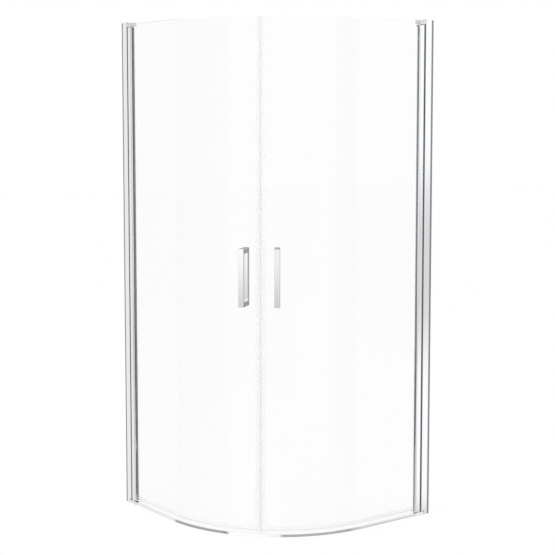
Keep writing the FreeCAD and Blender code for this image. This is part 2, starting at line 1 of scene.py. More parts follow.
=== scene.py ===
"""The looks of a quadrant shower enclosure, dressed round its fixed frame.

Two glass doors, each flat and then quarter-round, hang on upright hinge profiles beside two wall posts and
close on each other at the diagonal with a magnetic seal, over a low curved threshold strip. The soft parts,
the glass, the handles and the curved metal are modelled here as fine meshes; the other pieces keep their
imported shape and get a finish. Lengths are in metres, in the frame's own axes: the room's corner is at -X, +Y,
and the round front faces +X, -Y.
"""
import json
import logging
import math
from collections.abc import Callable
from dataclasses import dataclass, field, replace
from enum import Enum

import bpy
import numpy as np
from mathutils import Euler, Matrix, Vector
from mathutils.geometry import tessellate_polygon


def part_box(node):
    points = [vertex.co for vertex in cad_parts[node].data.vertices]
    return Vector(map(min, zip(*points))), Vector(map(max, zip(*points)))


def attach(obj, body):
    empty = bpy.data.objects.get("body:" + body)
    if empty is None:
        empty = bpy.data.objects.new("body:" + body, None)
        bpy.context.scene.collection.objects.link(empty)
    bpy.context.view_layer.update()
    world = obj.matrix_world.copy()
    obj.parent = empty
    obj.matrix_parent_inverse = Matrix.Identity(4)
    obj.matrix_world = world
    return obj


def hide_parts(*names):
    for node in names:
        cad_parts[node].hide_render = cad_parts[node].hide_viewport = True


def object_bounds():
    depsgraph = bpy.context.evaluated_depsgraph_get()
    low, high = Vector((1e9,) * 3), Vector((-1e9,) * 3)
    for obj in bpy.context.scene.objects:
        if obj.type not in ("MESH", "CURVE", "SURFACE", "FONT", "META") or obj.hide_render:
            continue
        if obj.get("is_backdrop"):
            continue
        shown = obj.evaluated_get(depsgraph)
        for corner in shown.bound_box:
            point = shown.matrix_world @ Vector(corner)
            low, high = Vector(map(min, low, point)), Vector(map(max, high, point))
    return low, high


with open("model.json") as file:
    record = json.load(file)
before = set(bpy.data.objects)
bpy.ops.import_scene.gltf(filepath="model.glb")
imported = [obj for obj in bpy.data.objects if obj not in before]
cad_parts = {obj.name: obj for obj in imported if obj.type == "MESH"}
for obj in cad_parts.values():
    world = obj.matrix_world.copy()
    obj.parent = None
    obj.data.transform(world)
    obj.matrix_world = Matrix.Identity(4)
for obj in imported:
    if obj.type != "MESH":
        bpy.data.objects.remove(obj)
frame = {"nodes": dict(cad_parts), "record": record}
log = logging.getLogger("enclosure")

MM = 0.001
CREASE_ANGLE = math.radians(32.0)
ROUND_STEPS = 48
SAME_SPOT = 1e-9
ON_LINE = 1e-6
NO_AREA = 1e-16
Socket = bpy.types.NodeSocket
Sockets = bpy.types.bpy_prop_collection
Corner = tuple[float, ...]
Place = Callable[[np.ndarray, np.ndarray, np.ndarray], np.ndarray]


class Side(Enum):
    """The two halves, which are mirror images across the room's diagonal."""

    LEFT = "left"
    RIGHT = "right"

    def node(self, piece_name: str) -> str:
        """The name of this side's copy of a piece or a body."""
        return f"{self.value}_{piece_name}"


class Slot(Enum):
    """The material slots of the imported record."""

    ALUMINIUM = "polished_aluminium"
    CHROME = "chrome"
    PLATED_PLASTIC = "chromed_plastic"
    STEEL = "stainless_steel"
    NYLON = "white_nylon"
    DARK_SEAL = "dark_seal"
    GLASS = "clear_glass"
    CLEAR_SEAL = "clear_seal"
    MAGNET = "magnet"
    SOFT_PAD = "soft_pad"


# ---- Shader building ----
def grey(level: float) -> tuple[float, float, float, float]:
    """An opaque grey."""
    return level, level, level, 1.0


class Graph:
    """A node tree in the making, with short calls that add and join nodes."""

    def __init__(self, tree: bpy.types.NodeTree) -> None:
        """Starts on a tree, keeping what it holds."""
        self.tree = tree

    @classmethod
    def emptied(cls, owner: bpy.types.Material | bpy.types.World) -> "Graph":
        """The tree of a material or a world, with nothing in it."""
        owner.use_nodes = True
        owner.node_tree.nodes.clear()
        return cls(owner.node_tree)

    def add(self, kind: str, inputs: dict | None = None, **settings: object) -> bpy.types.Node:
        """Adds a node.

        Args:
            kind: Blender's name of the node type.
            inputs: values or other nodes' outputs, by the name or number of the input socket.
            settings: the node's own properties.

        Returns:
            The new node.
        """
        node = self.tree.nodes.new(kind)
        for name, value in settings.items():
            setattr(node, name, value)
        for key, value in (inputs or {}).items():
            if isinstance(value, Socket):
                self.tree.links.new(value, node.inputs[key])
            else:
                node.inputs[key].default_value = value
        return node

    def math(self, operation: str, *values: object) -> Socket:
        """The output of a Math node on values or sockets."""
        return self.add("ShaderNodeMath", dict(enumerate(values)), operation=operation).outputs[0]

    def blend(self, share: object, first: object, second: object) -> Socket:
        """A mix of two colours, first where share is 0 and second where it is 1."""
        return self.add("ShaderNodeMix", {0: share, 6: first, 7: second}, data_type="RGBA").outputs[2]

    def mix(self, share: Socket, first: bpy.types.Node, second: bpy.types.Node) -> bpy.types.Node:
        """A mix of two shaders, first where share is 0 and second where it is 1."""
        return self.add("ShaderNodeMixShader", {0: share, 1: first.outputs[0], 2: second.outputs[0]})

    def fit(self, value: Socket, span: tuple, result: tuple, **settings: object) -> Socket:
        """A value that lies in a span, moved to the same place in the result's span."""
        ends = {"From Min": span[0], "From Max": span[1], "To Min": result[0], "To Max": result[1]}
        return self.add("ShaderNodeMapRange", {"Value": value, **ends}, **settings).outputs[0]

    def noise(self, **inputs: object) -> Socket:
        """The strength of a Noise Texture with the named inputs."""
        return self.add("ShaderNodeTexNoise", inputs).outputs[0]

    def brighten(self, colour: object, factor: Socket) -> Socket:
        """A colour whose brightness is multiplied by a factor."""
        return self.add("ShaderNodeHueSaturation", {"Value": factor, "Color": colour}).outputs[0]

    def bump(self, height: Socket, strength: float, distance: float) -> Socket:
        """The normal of a surface that a height raises by up to a distance."""
        inputs = {"Height": height, "Strength": strength, "Distance": distance}
        return self.add("ShaderNodeBump", inputs).outputs[0]


class Effect(Enum):
    """Surface effects that several finishes share, and the studio's cards, each one a node group."""

    DRAWN_LINES = "drawn_lines"
    HAZE = "haze"
    GRAIN = "grain"
    DRIFT = "drift"
    CARD = "card"


class Effects:
    """Builds each shared node group once, by the method that has the effect's name."""

    SOCKETS = {
        Effect.DRAWN_LINES: (
            {"Vector": "Vector", "Stretch": "Vector"},
            {"Height": "Float", "Shade": "Float"},
        ),
        Effect.HAZE: (
            {"Vector": "Vector", "Scale": "Float", "Low": "Float", "High": "Float"},
            {"Roughness": "Float"},
        ),
        Effect.GRAIN: ({"Vector": "Vector", "Scale": "Float"}, {"Height": "Float"}),
        Effect.DRIFT: ({"Vector": "Vector", "Colour": "Color", "Amount": "Float"}, {"Colour": "Color"}),
        Effect.CARD: (
            dict.fromkeys(("Heading", "Tilt", "Centre", "Half", "Low", "High", "Soft"), "Float"),
            {"Mask": "Float"},
        ),
    }

    def __init__(self) -> None:
        """Starts with no group built."""
        self.built: dict[Effect, bpy.types.NodeTree] = {}

    def place(self, graph: Graph, effect: Effect, inputs: dict) -> Sockets:
        """Puts an effect into a tree.

        Args:
            graph: the tree.
            effect: which effect.
            inputs: values or sockets for the group's inputs.

        Returns:
            The group node's outputs.
        """
        if effect not in self.built:
            self.built[effect] = self.build(effect)
        return graph.add("ShaderNodeGroup", inputs, node_tree=self.built[effect]).outputs

    def build(self, effect: Effect) -> bpy.types.NodeTree:
        """Makes one effect's group with its named sockets and nodes.

        Args:
            effect: which effect.

        Returns:
            The group's tree.
        """
        tree = bpy.data.node_groups.new(effect.value, "ShaderNodeTree")
        for way, sockets in zip(("INPUT", "OUTPUT"), self.SOCKETS[effect]):
            for name, kind in sockets.items():
                tree.interface.new_socket(name, in_out=way, socket_type=f"NodeSocket{kind}")
        graph = Graph(tree)
        given = graph.add("NodeGroupInput").outputs
        graph.add("NodeGroupOutput", getattr(self, effect.value)(graph, given))
        return tree

    def drawn_lines(self, graph: Graph, given: Sockets) -> dict[str, Socket]:
        """Fine lines along an extrusion: noise on coordinates squeezed across it and stretched along it.

        Args:
            graph: the group's tree.
            given: the group's inputs.

        Returns:
            The group's outputs, by name.
        """
        factors = {0: given["Vector"], 1: given["Stretch"]}
        spot = graph.add("ShaderNodeVectorMath", factors, operation="MULTIPLY")
        lines = graph.noise(Vector=spot.outputs[0], Scale=1.0, Detail=3.0)
        return {"Height": lines, "Shade": graph.fit(lines, (0.0, 1.0), (0.97, 1.03))}

    def haze(self, graph: Graph, given: Sockets) -> dict[str, Socket]:
        """Roughness that wanders between two values, as on a surface wiped by hand."""
        cloud = graph.noise(Vector=given["Vector"], Scale=given["Scale"], Detail=4.0, Distortion=0.6)
        return {"Roughness": graph.fit(cloud, (0.3, 0.7), (given["Low"], given["High"]))}

    def grain(self, graph: Graph, given: Sockets) -> dict[str, Socket]:
        """The fine pebbled grain of a moulded or extruded plastic."""
        spot = {"Vector": given["Vector"], "Scale": given["Scale"]}
        return {"Height": graph.add("ShaderNodeTexVoronoi", spot, feature="SMOOTH_F1").outputs["Distance"]}

    def drift(self, graph: Graph, given: Sockets) -> dict[str, Socket]:
        """A colour whose brightness drifts slowly over the surface by a small amount.

        Args:
            graph: the group's tree.
            given: the group's inputs.

        Returns:
            The group's outputs, by name.
        """
        cloud = graph.noise(Vector=given["Vector"], Scale=3.0, Detail=2.0)
        factor = graph.math("MULTIPLY_ADD", graph.math("SUBTRACT", cloud, 0.5), given["Amount"], 1.0)
        return {"Colour": graph.brighten(given["Colour"], factor)}

    def card(self, graph: Graph, given: Sockets) -> dict[str, Socket]:
        """A soft-edged card in the studio: 1 inside its range of headings and tilts, smoothly 0 outside.

        Args:
            graph: the group's tree.
            given: the group's inputs.

        Returns:
            The group's outputs, by name.
        """
        turn = graph.math("WRAP", graph.math("SUBTRACT", given["Heading"], given["Centre"]), 180.0, -180.0)
        away = graph.math("SUBTRACT", graph.math("ABSOLUTE", turn), given["Half"])
        under = graph.math("SUBTRACT", given["Low"], given["Tilt"])
        over = graph.math("SUBTRACT", given["Tilt"], given["High"])
        shares = (graph.math("DIVIDE", distance, given["Soft"]) for distance in (away, under, over))
        edges = [graph.fit(s, (-0.5, 0.5), (1.0, 0.0), interpolation_type="SMOOTHSTEP") for s in shares]
        return {"Mask": graph.math("MULTIPLY", graph.math("MULTIPLY", edges[0], edges[1]), edges[2])}


EFFECTS = Effects()


class Flow(Enum):
    """What a finish's lines and grain follow: the piece's own surface map, or upright lines in the frame."""

    SURFACE = "UV"
    UPRIGHT = "Object"


@dataclass(frozen=True)
class Finish:
    """What every finish has: a name, a colour that drifts a little, and a roughness between two values."""

    name: str
    colour: tuple[float, float, float]
    rough: tuple[float, float]
    flow: Flow = Flow.UPRIGHT
    drift: float = 0.03
    haze_scale: float = 20.0

    def material(self) -> bpy.types.Material:
        """The finish's material, built on first use."""
        found = bpy.data.materials.get(self.name)
        if found is None:
            found = bpy.data.materials.new(self.name)
            graph = Graph.emptied(found)
            spot = graph.add("ShaderNodeTexCoord").outputs[self.flow.value]
            graph.add("ShaderNodeOutputMaterial", self.shade(graph, spot))
        return found

    def roughness(self, graph: Graph, spot: Socket) -> Socket:
        """A wandering roughness between this finish's two values."""
        inputs = {"Vector": spot, "Scale": self.haze_scale, "Low": self.rough[0], "High": self.rough[1]}
        return EFFECTS.place(graph, Effect.HAZE, inputs)[0]

    def tone(self, graph: Graph, spot: Socket) -> Socket:
        """This finish's drifting colour."""
        inputs = {"Vector": spot, "Colour": (*self.colour, 1.0), "Amount": self.drift}
        return EFFECTS.place(graph, Effect.DRIFT, inputs)[0]

    def shade(self, graph: Graph, spot: Socket) -> dict[str, Socket]:
        """Builds the finish's shader.

        Args:
            graph: the material's tree.
            spot: the coordinates that the pattern reads.

        Returns:
            What goes into the material's output, by the name of its input.
        """
        raise NotImplementedError


@dataclass(frozen=True)
class Metal(Finish):
    """Bright metal with faint lines along it; below a height a plated moulding may get painted shade:
    near-black, dull, not metallic.
    """

    drift: float = 0.04
    haze_scale: float = 7.0
    lines: float = 600.0
    lines_along: float = 1.5
    line_depth: float = 0.002
    # painted shade: the height below which the surface is near-black, that grey, and the roughness it gains
    # there
    painted_shade_below: float | None = None
    painted_shade_level: float = 0.02
    painted_shade_roughness: float = 0.4

    def shade(self, graph: Graph, spot: Socket) -> dict[str, Socket]:
        """Metal, but for the part with painted shade; lines feed the bump and the colour, haze feeds the
        roughness.

        Args:
            graph: the material's tree.
            spot: the coordinates that the pattern reads.

        Returns:
            What goes into the material's output, by the name of its input.
        """
        across, along = self.lines, self.lines_along
        stretch = (along, across, 1.0) if self.flow is Flow.SURFACE else (across, across, along)
        lines = EFFECTS.place(graph, Effect.DRAWN_LINES, {"Vector": spot, "Stretch": stretch})
        colour = graph.brighten(self.tone(graph, spot), lines["Shade"])
        metallic, rough = 1.0, self.roughness(graph, spot)
        # painted shade: below the height the colour turns near-black and dull, standing in for the shade of the
        # gap under the part
        if self.painted_shade_below is not None:
            height = graph.add("ShaderNodeSeparateXYZ", {0: spot}).outputs[2]
            metallic = graph.math("GREATER_THAN", height, self.painted_shade_below)
            colour = graph.blend(metallic, grey(self.painted_shade_level), colour)
            painted_shade_rough = graph.math("ADD", rough, self.painted_shade_roughness)
            rough = graph.math("MULTIPLY_ADD", metallic, -self.painted_shade_roughness, painted_shade_rough)
        inputs = {
            "Base Color": colour,
            "Metallic": metallic,
            "Roughness": rough,
            "Normal": graph.bump(lines["Height"], self.line_depth, MM),
        }
        return {"Surface": graph.add("ShaderNodeBsdfPrincipled", inputs).outputs[0]}


@dataclass(frozen=True)
class Plastic(Finish):
    """Moulded plastic or rubber with a fine grain; thin clear vinyl covers only part of what is behind it."""

    grain_size: float = 0.5 * MM
    grain_depth: float = 0.05
    cover: float = 1.0
    scatter: float = 0.0

    def shade(self, graph: Graph, spot: Socket) -> dict[str, Socket]:
        """A dielectric with grain in its bump and haze in its roughness.

        Args:
            graph: the material's tree.
            spot: the coordinates that the pattern reads.

        Returns:
            What goes into the material's output, by the name of its input.
        """
        grain = EFFECTS.place(graph, Effect.GRAIN, {"Vector": spot, "Scale": 1.0 / self.grain_size})
        inputs = {
            "Base Color": self.tone(graph, spot),
            "Roughness": self.roughness(graph, spot),
            "Normal": graph.bump(grain[0], self.grain_depth, 0.1 * MM),
            "Alpha": self.cover,
            "Subsurface Weight": self.scatter,
            "Subsurface Scale": 2.0 * MM,
        }
        return {"Surface": graph.add("ShaderNodeBsdfPrincipled", inputs).outputs[0]}


@dataclass(frozen=True)
class Glass(Finish):
    """Clear toughened glass: two polished faces, and a faint tint that deepens along the edges."""

    drift: float = 0.01
    haze_scale: float = 5.0
    index: float = 1.2
    mirrors: float = 0.2
    tint: tuple[float, float, float] = (0.5, 0.62, 0.58)
    density: float = 1.0
    shadow_level: float = 0.94

    def shade(self, graph: Graph, spot: Socket) -> dict[str, Socket]:
        """Refracting glass with absorption inside; shadow rays pass it, so that lamps shine through.

        Args:
            graph: the material's tree.
            spot: the coordinates that the pattern reads.

        Returns:
            What goes into the material's output, by the name of its input.
        """
        inputs = {
            "Base Color": self.tone(graph, spot),
            "Roughness": self.roughness(graph, spot),
            "IOR": self.index,
            "Specular IOR Level": self.mirrors,
            "Transmission Weight": 1.0,
        }
        pane = graph.add("ShaderNodeBsdfPrincipled", inputs)
        absorbed = {"Color": (*self.tint, 1.0), "Density": self.density}
        inside = graph.add("ShaderNodeVolumeAbsorption", absorbed)
        clear = graph.add("ShaderNodeBsdfTransparent", {"Color": grey(self.shadow_level)})
        shadow = graph.add("ShaderNodeLightPath").outputs["Is Shadow Ray"]
        return {"Surface": graph.mix(shadow, pane, clear).outputs[0], "Volume": inside.outputs[0]}


class Finishes:
    """The finishes of the enclosure, by the record's slot, with some that differ on a few pieces."""

    SWEPT_ALUMINIUM = Metal("bright_aluminium_swept", (0.93, 0.935, 0.94), (0.05, 0.08), Flow.SURFACE)
    GASKET = Plastic("grey_gasket", (0.3, 0.3, 0.3), (0.4, 0.55), grain_depth=0.1)
    PLATED = Metal("plated_plastic", (0.88, 0.885, 0.89), (0.1, 0.14), lines=120.0, line_depth=0.001)
    CAST = Metal("satin_casting", (0.96, 0.96, 0.96), (0.5, 0.58), lines=300.0, line_depth=0.001)
    BY_PIECE = {
        # the wall channel is satin, and its grey is darkened far below metal's as painted shade of its recess
        # beside the post
        "wall_channel": Metal("satin_channel_painted_shade", (0.32, 0.325, 0.33), (0.25, 0.32), line_depth=0.02),
        "top_pivot_bracket": CAST,
        "bottom_pivot_block": replace(
            CAST, name="polished_casting", colour=(0.94, 0.94, 0.94), rough=(0.12, 0.18)
        ),
        # the lower cap gets painted shade below this height, for the dark gap between the hinge's foot and the
        # pivot block
        "hinge_lower_cap": replace(PLATED, name="plated_cap_painted_shade", painted_shade_below=0.0178),
    }
    BY_SLOT = {
        Slot.ALUMINIUM: Metal("bright_aluminium", (0.93, 0.935, 0.94), (0.06, 0.08)),
        Slot.CHROME: Metal("chrome_plate", (0.9, 0.905, 0.91), (0.02, 0.04), lines=200.0, line_depth=0.0005),
        Slot.PLATED_PLASTIC: PLATED,
        Slot.STEEL: Metal("turned_steel", (0.62, 0.61, 0.6), (0.2, 0.3), lines=1500.0, line_depth=0.04),
        Slot.NYLON: Plastic("white_nylon", (0.86, 0.86, 0.84), (0.4, 0.5), scatter=0.2),
        Slot.DARK_SEAL: Plastic("dark_seal", (0.035, 0.035, 0.037), (0.45, 0.6), grain_depth=0.1),
        Slot.GLASS: Glass("toughened_glass", (0.98, 0.982, 0.981), (0.0, 0.012)),
        Slot.CLEAR_SEAL: Plastic("clear_vinyl", (0.93, 0.935, 0.935), (0.08, 0.14), Flow.SURFACE, cover=0.1),
        Slot.MAGNET: Plastic("white_magnet", (0.95, 0.95, 0.948), (0.4, 0.5), Flow.SURFACE, cover=0.05),
        Slot.SOFT_PAD: Plastic("soft_pad", (0.88, 0.88, 0.87), (0.3, 0.4), cover=0.8),
    }


# ---- Mesh building ----
def sides(faces: np.ndarray) -> np.ndarray:
    """The edges of all faces as pairs of points, each in its face's order."""
    return np.stack([faces, np.roll(faces, -1, axis=1)], -1).reshape(-1, 2)


def grid_quads(rows: int, columns: int, closed: bool) -> np.ndarray:
    """The quads of a grid of points that are kept row by row.

    Args:
        rows: how many rows there are.
        columns: how many points a row has.
        closed: whether the last column meets the first.

    Returns:
        Each quad's points: along its row, then back along the next one.
    """
    i, j = np.meshgrid(np.arange(rows - 1), np.arange(columns if closed else columns - 1), indexing="ij")
    row, ahead, k = i * columns, (i + 1) * columns, (j + 1) % columns
    return np.stack([row + j, row + k, ahead + k, ahead + j], -1).reshape(-1, 4)


@dataclass
class Shell:
    """A closed mesh in the making: points, faces of four and three corners, and each corner's map place."""

    points: np.ndarray
    quads: np.ndarray
    quad_map: np.ndarray
    triangles: np.ndarray = field(default_factory=lambda: np.zeros((0, 3), int))
    triangle_map: np.ndarray = field(default_factory=lambda: np.zeros((0, 3, 2)))
    flat_ends: bool = False

    def outwards(self) -> "Shell":
        """This shell with its faces turned outwards.

        The tetrahedra from the origin to each face add up to the volume, below zero where the faces look
        inwards.
        """
        fans = np.concatenate([self.quads[:, [0, 1, 2]], self.quads[:, [0, 2, 3]], self.triangles])
        a, b, c = (self.points[fans[:, i]] for i in range(3))
        if np.einsum("ij,ij->", a, np.cross(b, c)) >= 0.0:
            return self
        names = ("quads", "quad_map", "triangles", "triangle_map")
        return replace(self, **{name: getattr(self, name)[:, ::-1] for name in names})

    def end_edges(self, edges: np.ndarray) -> np.ndarray:
        """Finds the edges that part a triangle of a flat end from a quad of the walls.

        Args:
            edges: pairs of points.

        Returns:
            Which of them do.
        """
        pairs = (edges, sides(self.quads), sides(self.triangles))
        given, walls, ends = (p.min(1).astype(np.int64) * len(self.points) + p.max(1) for p in pairs)
        return np.isin(given, np.intersect1d(walls, ends))


def joined(shells: list[Shell]) -> Shell:
    """One mesh of several shells, which stay separate closed bodies."""
    starts = np.cumsum([0] + [len(s.points) for s in shells[:-1]])
    return Shell(
        np.concatenate([s.points for s in shells]),
        np.concatenate([s.quads + n for s, n in zip(shells, starts)]),
        np.concatenate([s.quad_map for s in shells]),
        np.concatenate([s.triangles + n for s, n in zip(shells, starts)]),
        np.concatenate([s.triangle_map for s in shells]),
        shells[0].flat_ends,
    )


def outline(corners: list[Corner], steps: int = 6) -> np.ndarray:
    """A section's closed line, in the order given.

    Each corner is (a, b) or (a, b, radius). A corner with a radius becomes an arc tangent to its two sides:
    its centre lies on the corner's bisector at radius / sin(half angle), and its points turn evenly from side
    to side.

    Args:
        corners: the corners, counter-clockwise for an outer line and clockwise for a hole.
        steps: how many chords an arc has.

    Returns:
        The points, one row each.
    """
    spots = np.array([c[:2] for c in corners], float)
    pieces = []
    for i, corner in enumerate(corners):
        radius = corner[2] if len(corner) > 2 else 0.0
        if not radius:
            pieces.append(spots[i : i + 1])
            continue
        back, ahead = spots[i - 1] - spots[i], spots[(i + 1) % len(corners)] - spots[i]
        back, ahead = back / np.linalg.norm(back), ahead / np.linalg.norm(ahead)
        half = math.acos(float(np.clip(back @ ahead, -1.0, 1.0))) / 2.0
        centre = spots[i] + (back + ahead) / np.linalg.norm(back + ahead) * radius / math.sin(half)
        first, last = (spots[i] + way * radius / math.tan(half) - centre for way in (back, ahead))
        bend = first[0] * last[1] - first[1] * last[0]
        turns = np.linspace(0.0, math.copysign(math.pi - 2.0 * half, bend), steps + 1)
        cos, sin = np.cos(turns), np.sin(turns)
        arc = [first[0] * cos - first[1] * sin, first[0] * sin + first[1] * cos]
        pieces.append(centre + np.column_stack(arc))
    line = np.concatenate(pieces)
    return line[np.linalg.norm(line - np.roll(line, 1, axis=0), axis=1) > SAME_SPOT]


def circle(a: float, b: float, radius: float, steps: int = 32) -> np.ndarray:
    """A round hole's line about (a, b), clockwise."""
    turns = np.linspace(0.0, 2.0 * math.pi, steps, endpoint=False)
    return np.column_stack([a + radius * np.cos(turns), b - radius * np.sin(turns)])


def box(a: tuple[float, float], b: tuple[float, float], radius: float, hole: bool = False) -> list[Corner]:
    """The corners of a rounded rectangle between two a and two b; clockwise for a hole."""
    corners = [(a[0], b[0], radius), (a[1], b[0], radius), (a[1], b[1], radius), (a[0], b[1], radius)]
    return corners[:1] + corners[:0:-1] if hole else corners


def both_halves(half: list[Corner], middle: float = 0.0) -> list[Corner]:
    """A section's corners and then, backwards, their mirror images across b = 0, all moved by middle in b."""
    return [(a, middle + b, *r) for a, b, *r in half] + [(a, middle - b, *r) for a, b, *r in reversed(half)]


def leaning_in(line: np.ndarray) -> np.ndarray:
    """How the points of a closed line move when its sides move into the solid.

    Args:
        line: the points, with the solid on the left of each side.

    Returns:
        For each point, the step that moves both its sides by 1 to their left.
    """
    side = np.roll(line, -1, axis=0) - line
    left = np.column_stack([-side[:, 1], side[:, 0]]) / np.linalg.norm(side, axis=1)[:, None]
    before = np.roll(left, 1, axis=0)
    return (left + before) / (1.0 + np.einsum("ij,ij->i", left, before))[:, None]


def rim_stations(low: float, high: float, radius: float, steps: int = 4) -> tuple[np.ndarray, np.ndarray]:
    """Stations of a straight run whose two ends are rounded.

    A quarter circle of the radius at each end: at turn t the station is radius * (1 - sin t) from the end and
    the section shrinks by radius * (1 - cos t) there, from 90 degrees at the end to 0 where the run begins.

    Args:
        low: where the run starts.
        high: where it ends.
        radius: of the rounding.
        steps: how many chords a rounding has.

    Returns:
        The stations, and how much the section shrinks at each.
    """
    turn = np.linspace(math.pi / 2.0, 0.0, steps + 1)
    reach, shrink = radius * (1.0 - np.sin(turn)), radius * (1.0 - np.cos(turn))
    return np.concatenate([low + reach, (high - reach)[::-1]]), np.concatenate([shrink, shrink[::-1]])


def carried(
    lines: list[np.ndarray], run: np.ndarray, place: Place, shrink: np.ndarray | float = 0.0
) -> Shell:
    """A solid made by carrying a section along a path.

    The point of line point j at station i is place(a, b, t), where (a, b) is line point j moved into the
    solid by the shrink of station i, and t is that station. Neighbours in i and j make the quads of the
    walls, and triangles over the section close both ends.

    Args:
        lines: the section's outer line, counter-clockwise, then its holes, clockwise.
        run: the stations.
        place: turns arrays of a, b and t into points in the frame.
        shrink: how far the section shrinks at each station.

    Returns:
        The solid, its faces outwards.
    """
    run = np.asarray(run, float)
    shrink = np.broadcast_to(np.asarray(shrink, float), run.shape)
    points, quads, quad_map, starts = [], [], [], [0]
    for line in lines:
        n = len(line)
        section = line[None] + leaning_in(line)[None] * shrink[:, None, None]
        t = np.broadcast_to(run[:, None], section.shape[:2])
        points.append(place(section[..., 0], section[..., 1], t).reshape(-1, 3))
        quads.append(grid_quads(len(run), n, closed=True) + starts[-1])
        lengths = np.linalg.norm(np.roll(line, -1, axis=0) - line, axis=1)
        laid_flat = np.stack(np.meshgrid(run, np.concatenate([[0.0], np.cumsum(lengths)]), indexing="ij"), -1)
        quad_map.append(laid_flat.reshape(-1, 2)[grid_quads(len(run), n + 1, closed=False)])
        starts.append(starts[-1] + len(run) * n)
    first = np.concatenate([s + np.arange(len(line)) for s, line in zip(starts, lines)])
    last = np.concatenate([s - len(line) + np.arange(len(line)) for s, line in zip(starts[1:], lines)])
    flat = np.concatenate(lines)
    faces = np.array(tessellate_polygon([[Vector((*p, 0.0)) for p in line.tolist()] for line in lines]))
    spans = flat[faces]
    area = np.cross(spans[:, 1] - spans[:, 0], spans[:, 2] - spans[:, 0])
    faces = np.where((area < 0.0)[:, None], faces[:, ::-1], faces)[np.abs(area) > NO_AREA]
    ends = np.concatenate([first[faces][:, ::-1], last[faces]])
    ends_map = np.concatenate([flat[faces][:, ::-1], flat[faces]])
    walls = (np.concatenate(arrays) for arrays in (points, quads, quad_map))
    return Shell(*walls, ends, ends_map, True).outwards()


def revolved(
    profile: np.ndarray, centre: np.ndarray, axis: np.ndarray, lift: np.ndarray | None = None
) -> Shell:
    """A round solid: profile points (radius, height) turned about an axis.

    Ring i and turn j give centre + axis * height_i + (cos j * u + sin j * v) * radius_i, with u and v square
    to the axis. The first and last profile points lie on the axis, and fans of triangles close them.

    Args:
        profile: the outline from the axis, round the outside and back to the axis.
        centre: where height 0 is.
        axis: the unit direction of the height.
        lift: an optional height to add to each ring and turn, as for a recess; the tip then lies level with
            the first ring.

    Returns:
        The solid, its faces outwards.
    """
    steps = ROUND_STEPS
    turns = np.linspace(0.0, 2.0 * math.pi, steps, endpoint=False)
    u = np.cross(axis, [0.0, 0.0, 1.0])
    u = u / np.linalg.norm(u)
    v = np.cross(axis, u)
    rings = profile[1:-1]
    height = rings[:, 1][:, None] + (np.zeros((len(rings), steps)) if lift is None else lift)
    around = np.cos(turns)[:, None] * u + np.sin(turns)[:, None] * v
    body = centre + axis * height[..., None] + around[None] * rings[:, 0][:, None, None]
    tip = profile[0, 1] if lift is None else height[0].mean()
    poles = np.stack([centre + axis * tip, centre + axis * profile[-1, 1]])
    count, tail = len(rings) * steps, (len(rings) - 1) * steps
    j, k = np.arange(steps), (np.arange(steps) + 1) % steps
    top, bottom = np.full(steps, count), np.full(steps, count + 1)
    fans = np.concatenate([np.stack([top, k, j], -1), np.stack([bottom, tail + j, tail + k], -1)])
    points = np.concatenate([body.reshape(-1, 3), poles])
    quads = grid_quads(len(rings), steps, closed=True)
    flat = points @ np.column_stack([u, v])
    return Shell(points, quads, flat[quads], fans, flat[fans]).outwards()


def placed(name: str, data: bpy.types.ID) -> bpy.types.Object:
    """A new object in the scene, with that mesh, lamp or camera."""
    made = bpy.data.objects.new(name, data)
    bpy.context.scene.collection.objects.link(made)
    return made


def piece(name: str, shell: Shell, finish: Finish, body: str, nodes: tuple[str, ...]) -> None:
    """Makes a finished piece of the enclosure, in place and riding on its body.

    Args:
        name: the piece's name.
        shell: its mesh.
        finish: what it is made of.
        body: the body that it moves with.
        nodes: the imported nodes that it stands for.
    """
    mesh = bpy.data.meshes.new(name)
    mesh.from_pydata(shell.points.tolist(), [], shell.quads.tolist() + shell.triangles.tolist())
    layer = mesh.uv_layers.new(name="surface")
    places = np.concatenate([shell.quad_map.reshape(-1, 2), shell.triangle_map.reshape(-1, 2)])
    layer.data.foreach_set("uv", places.astype(np.float32).ravel())
    mesh.polygons.foreach_set("use_smooth", np.ones(len(mesh.polygons), bool))
    mesh.set_sharp_from_angle(angle=CREASE_ANGLE)
    if shell.flat_ends:
        edges, sharp = np.empty(2 * len(mesh.edges), np.int32), np.empty(len(mesh.edges), bool)
        mesh.edges.foreach_get("vertices", edges)
        mesh.edges.foreach_get("use_edge_sharp", sharp)
        mesh.edges.foreach_set("use_edge_sharp", sharp | shell.end_edges(edges.reshape(-1, 2)))
    mesh.materials.append(finish.material())
    mesh.validate()
    made = placed(name, mesh)
    made.modifiers.new("flat_faces_stay_flat", "WEIGHTED_NORMAL").keep_sharp = True
    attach(made, body)
    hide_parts(*nodes)
    log.info("%s: %d faces, riding on %s", name, len(mesh.polygons), body)


def stand_in(node: str, shell: Shell, slot: Slot, body: str, finish: Finish | None = None) -> None:
    """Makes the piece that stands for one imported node, in its slot's finish unless another is given."""
    piece(f"{node}_form", shell, finish or Finishes.BY_SLOT[slot], body, (node,))


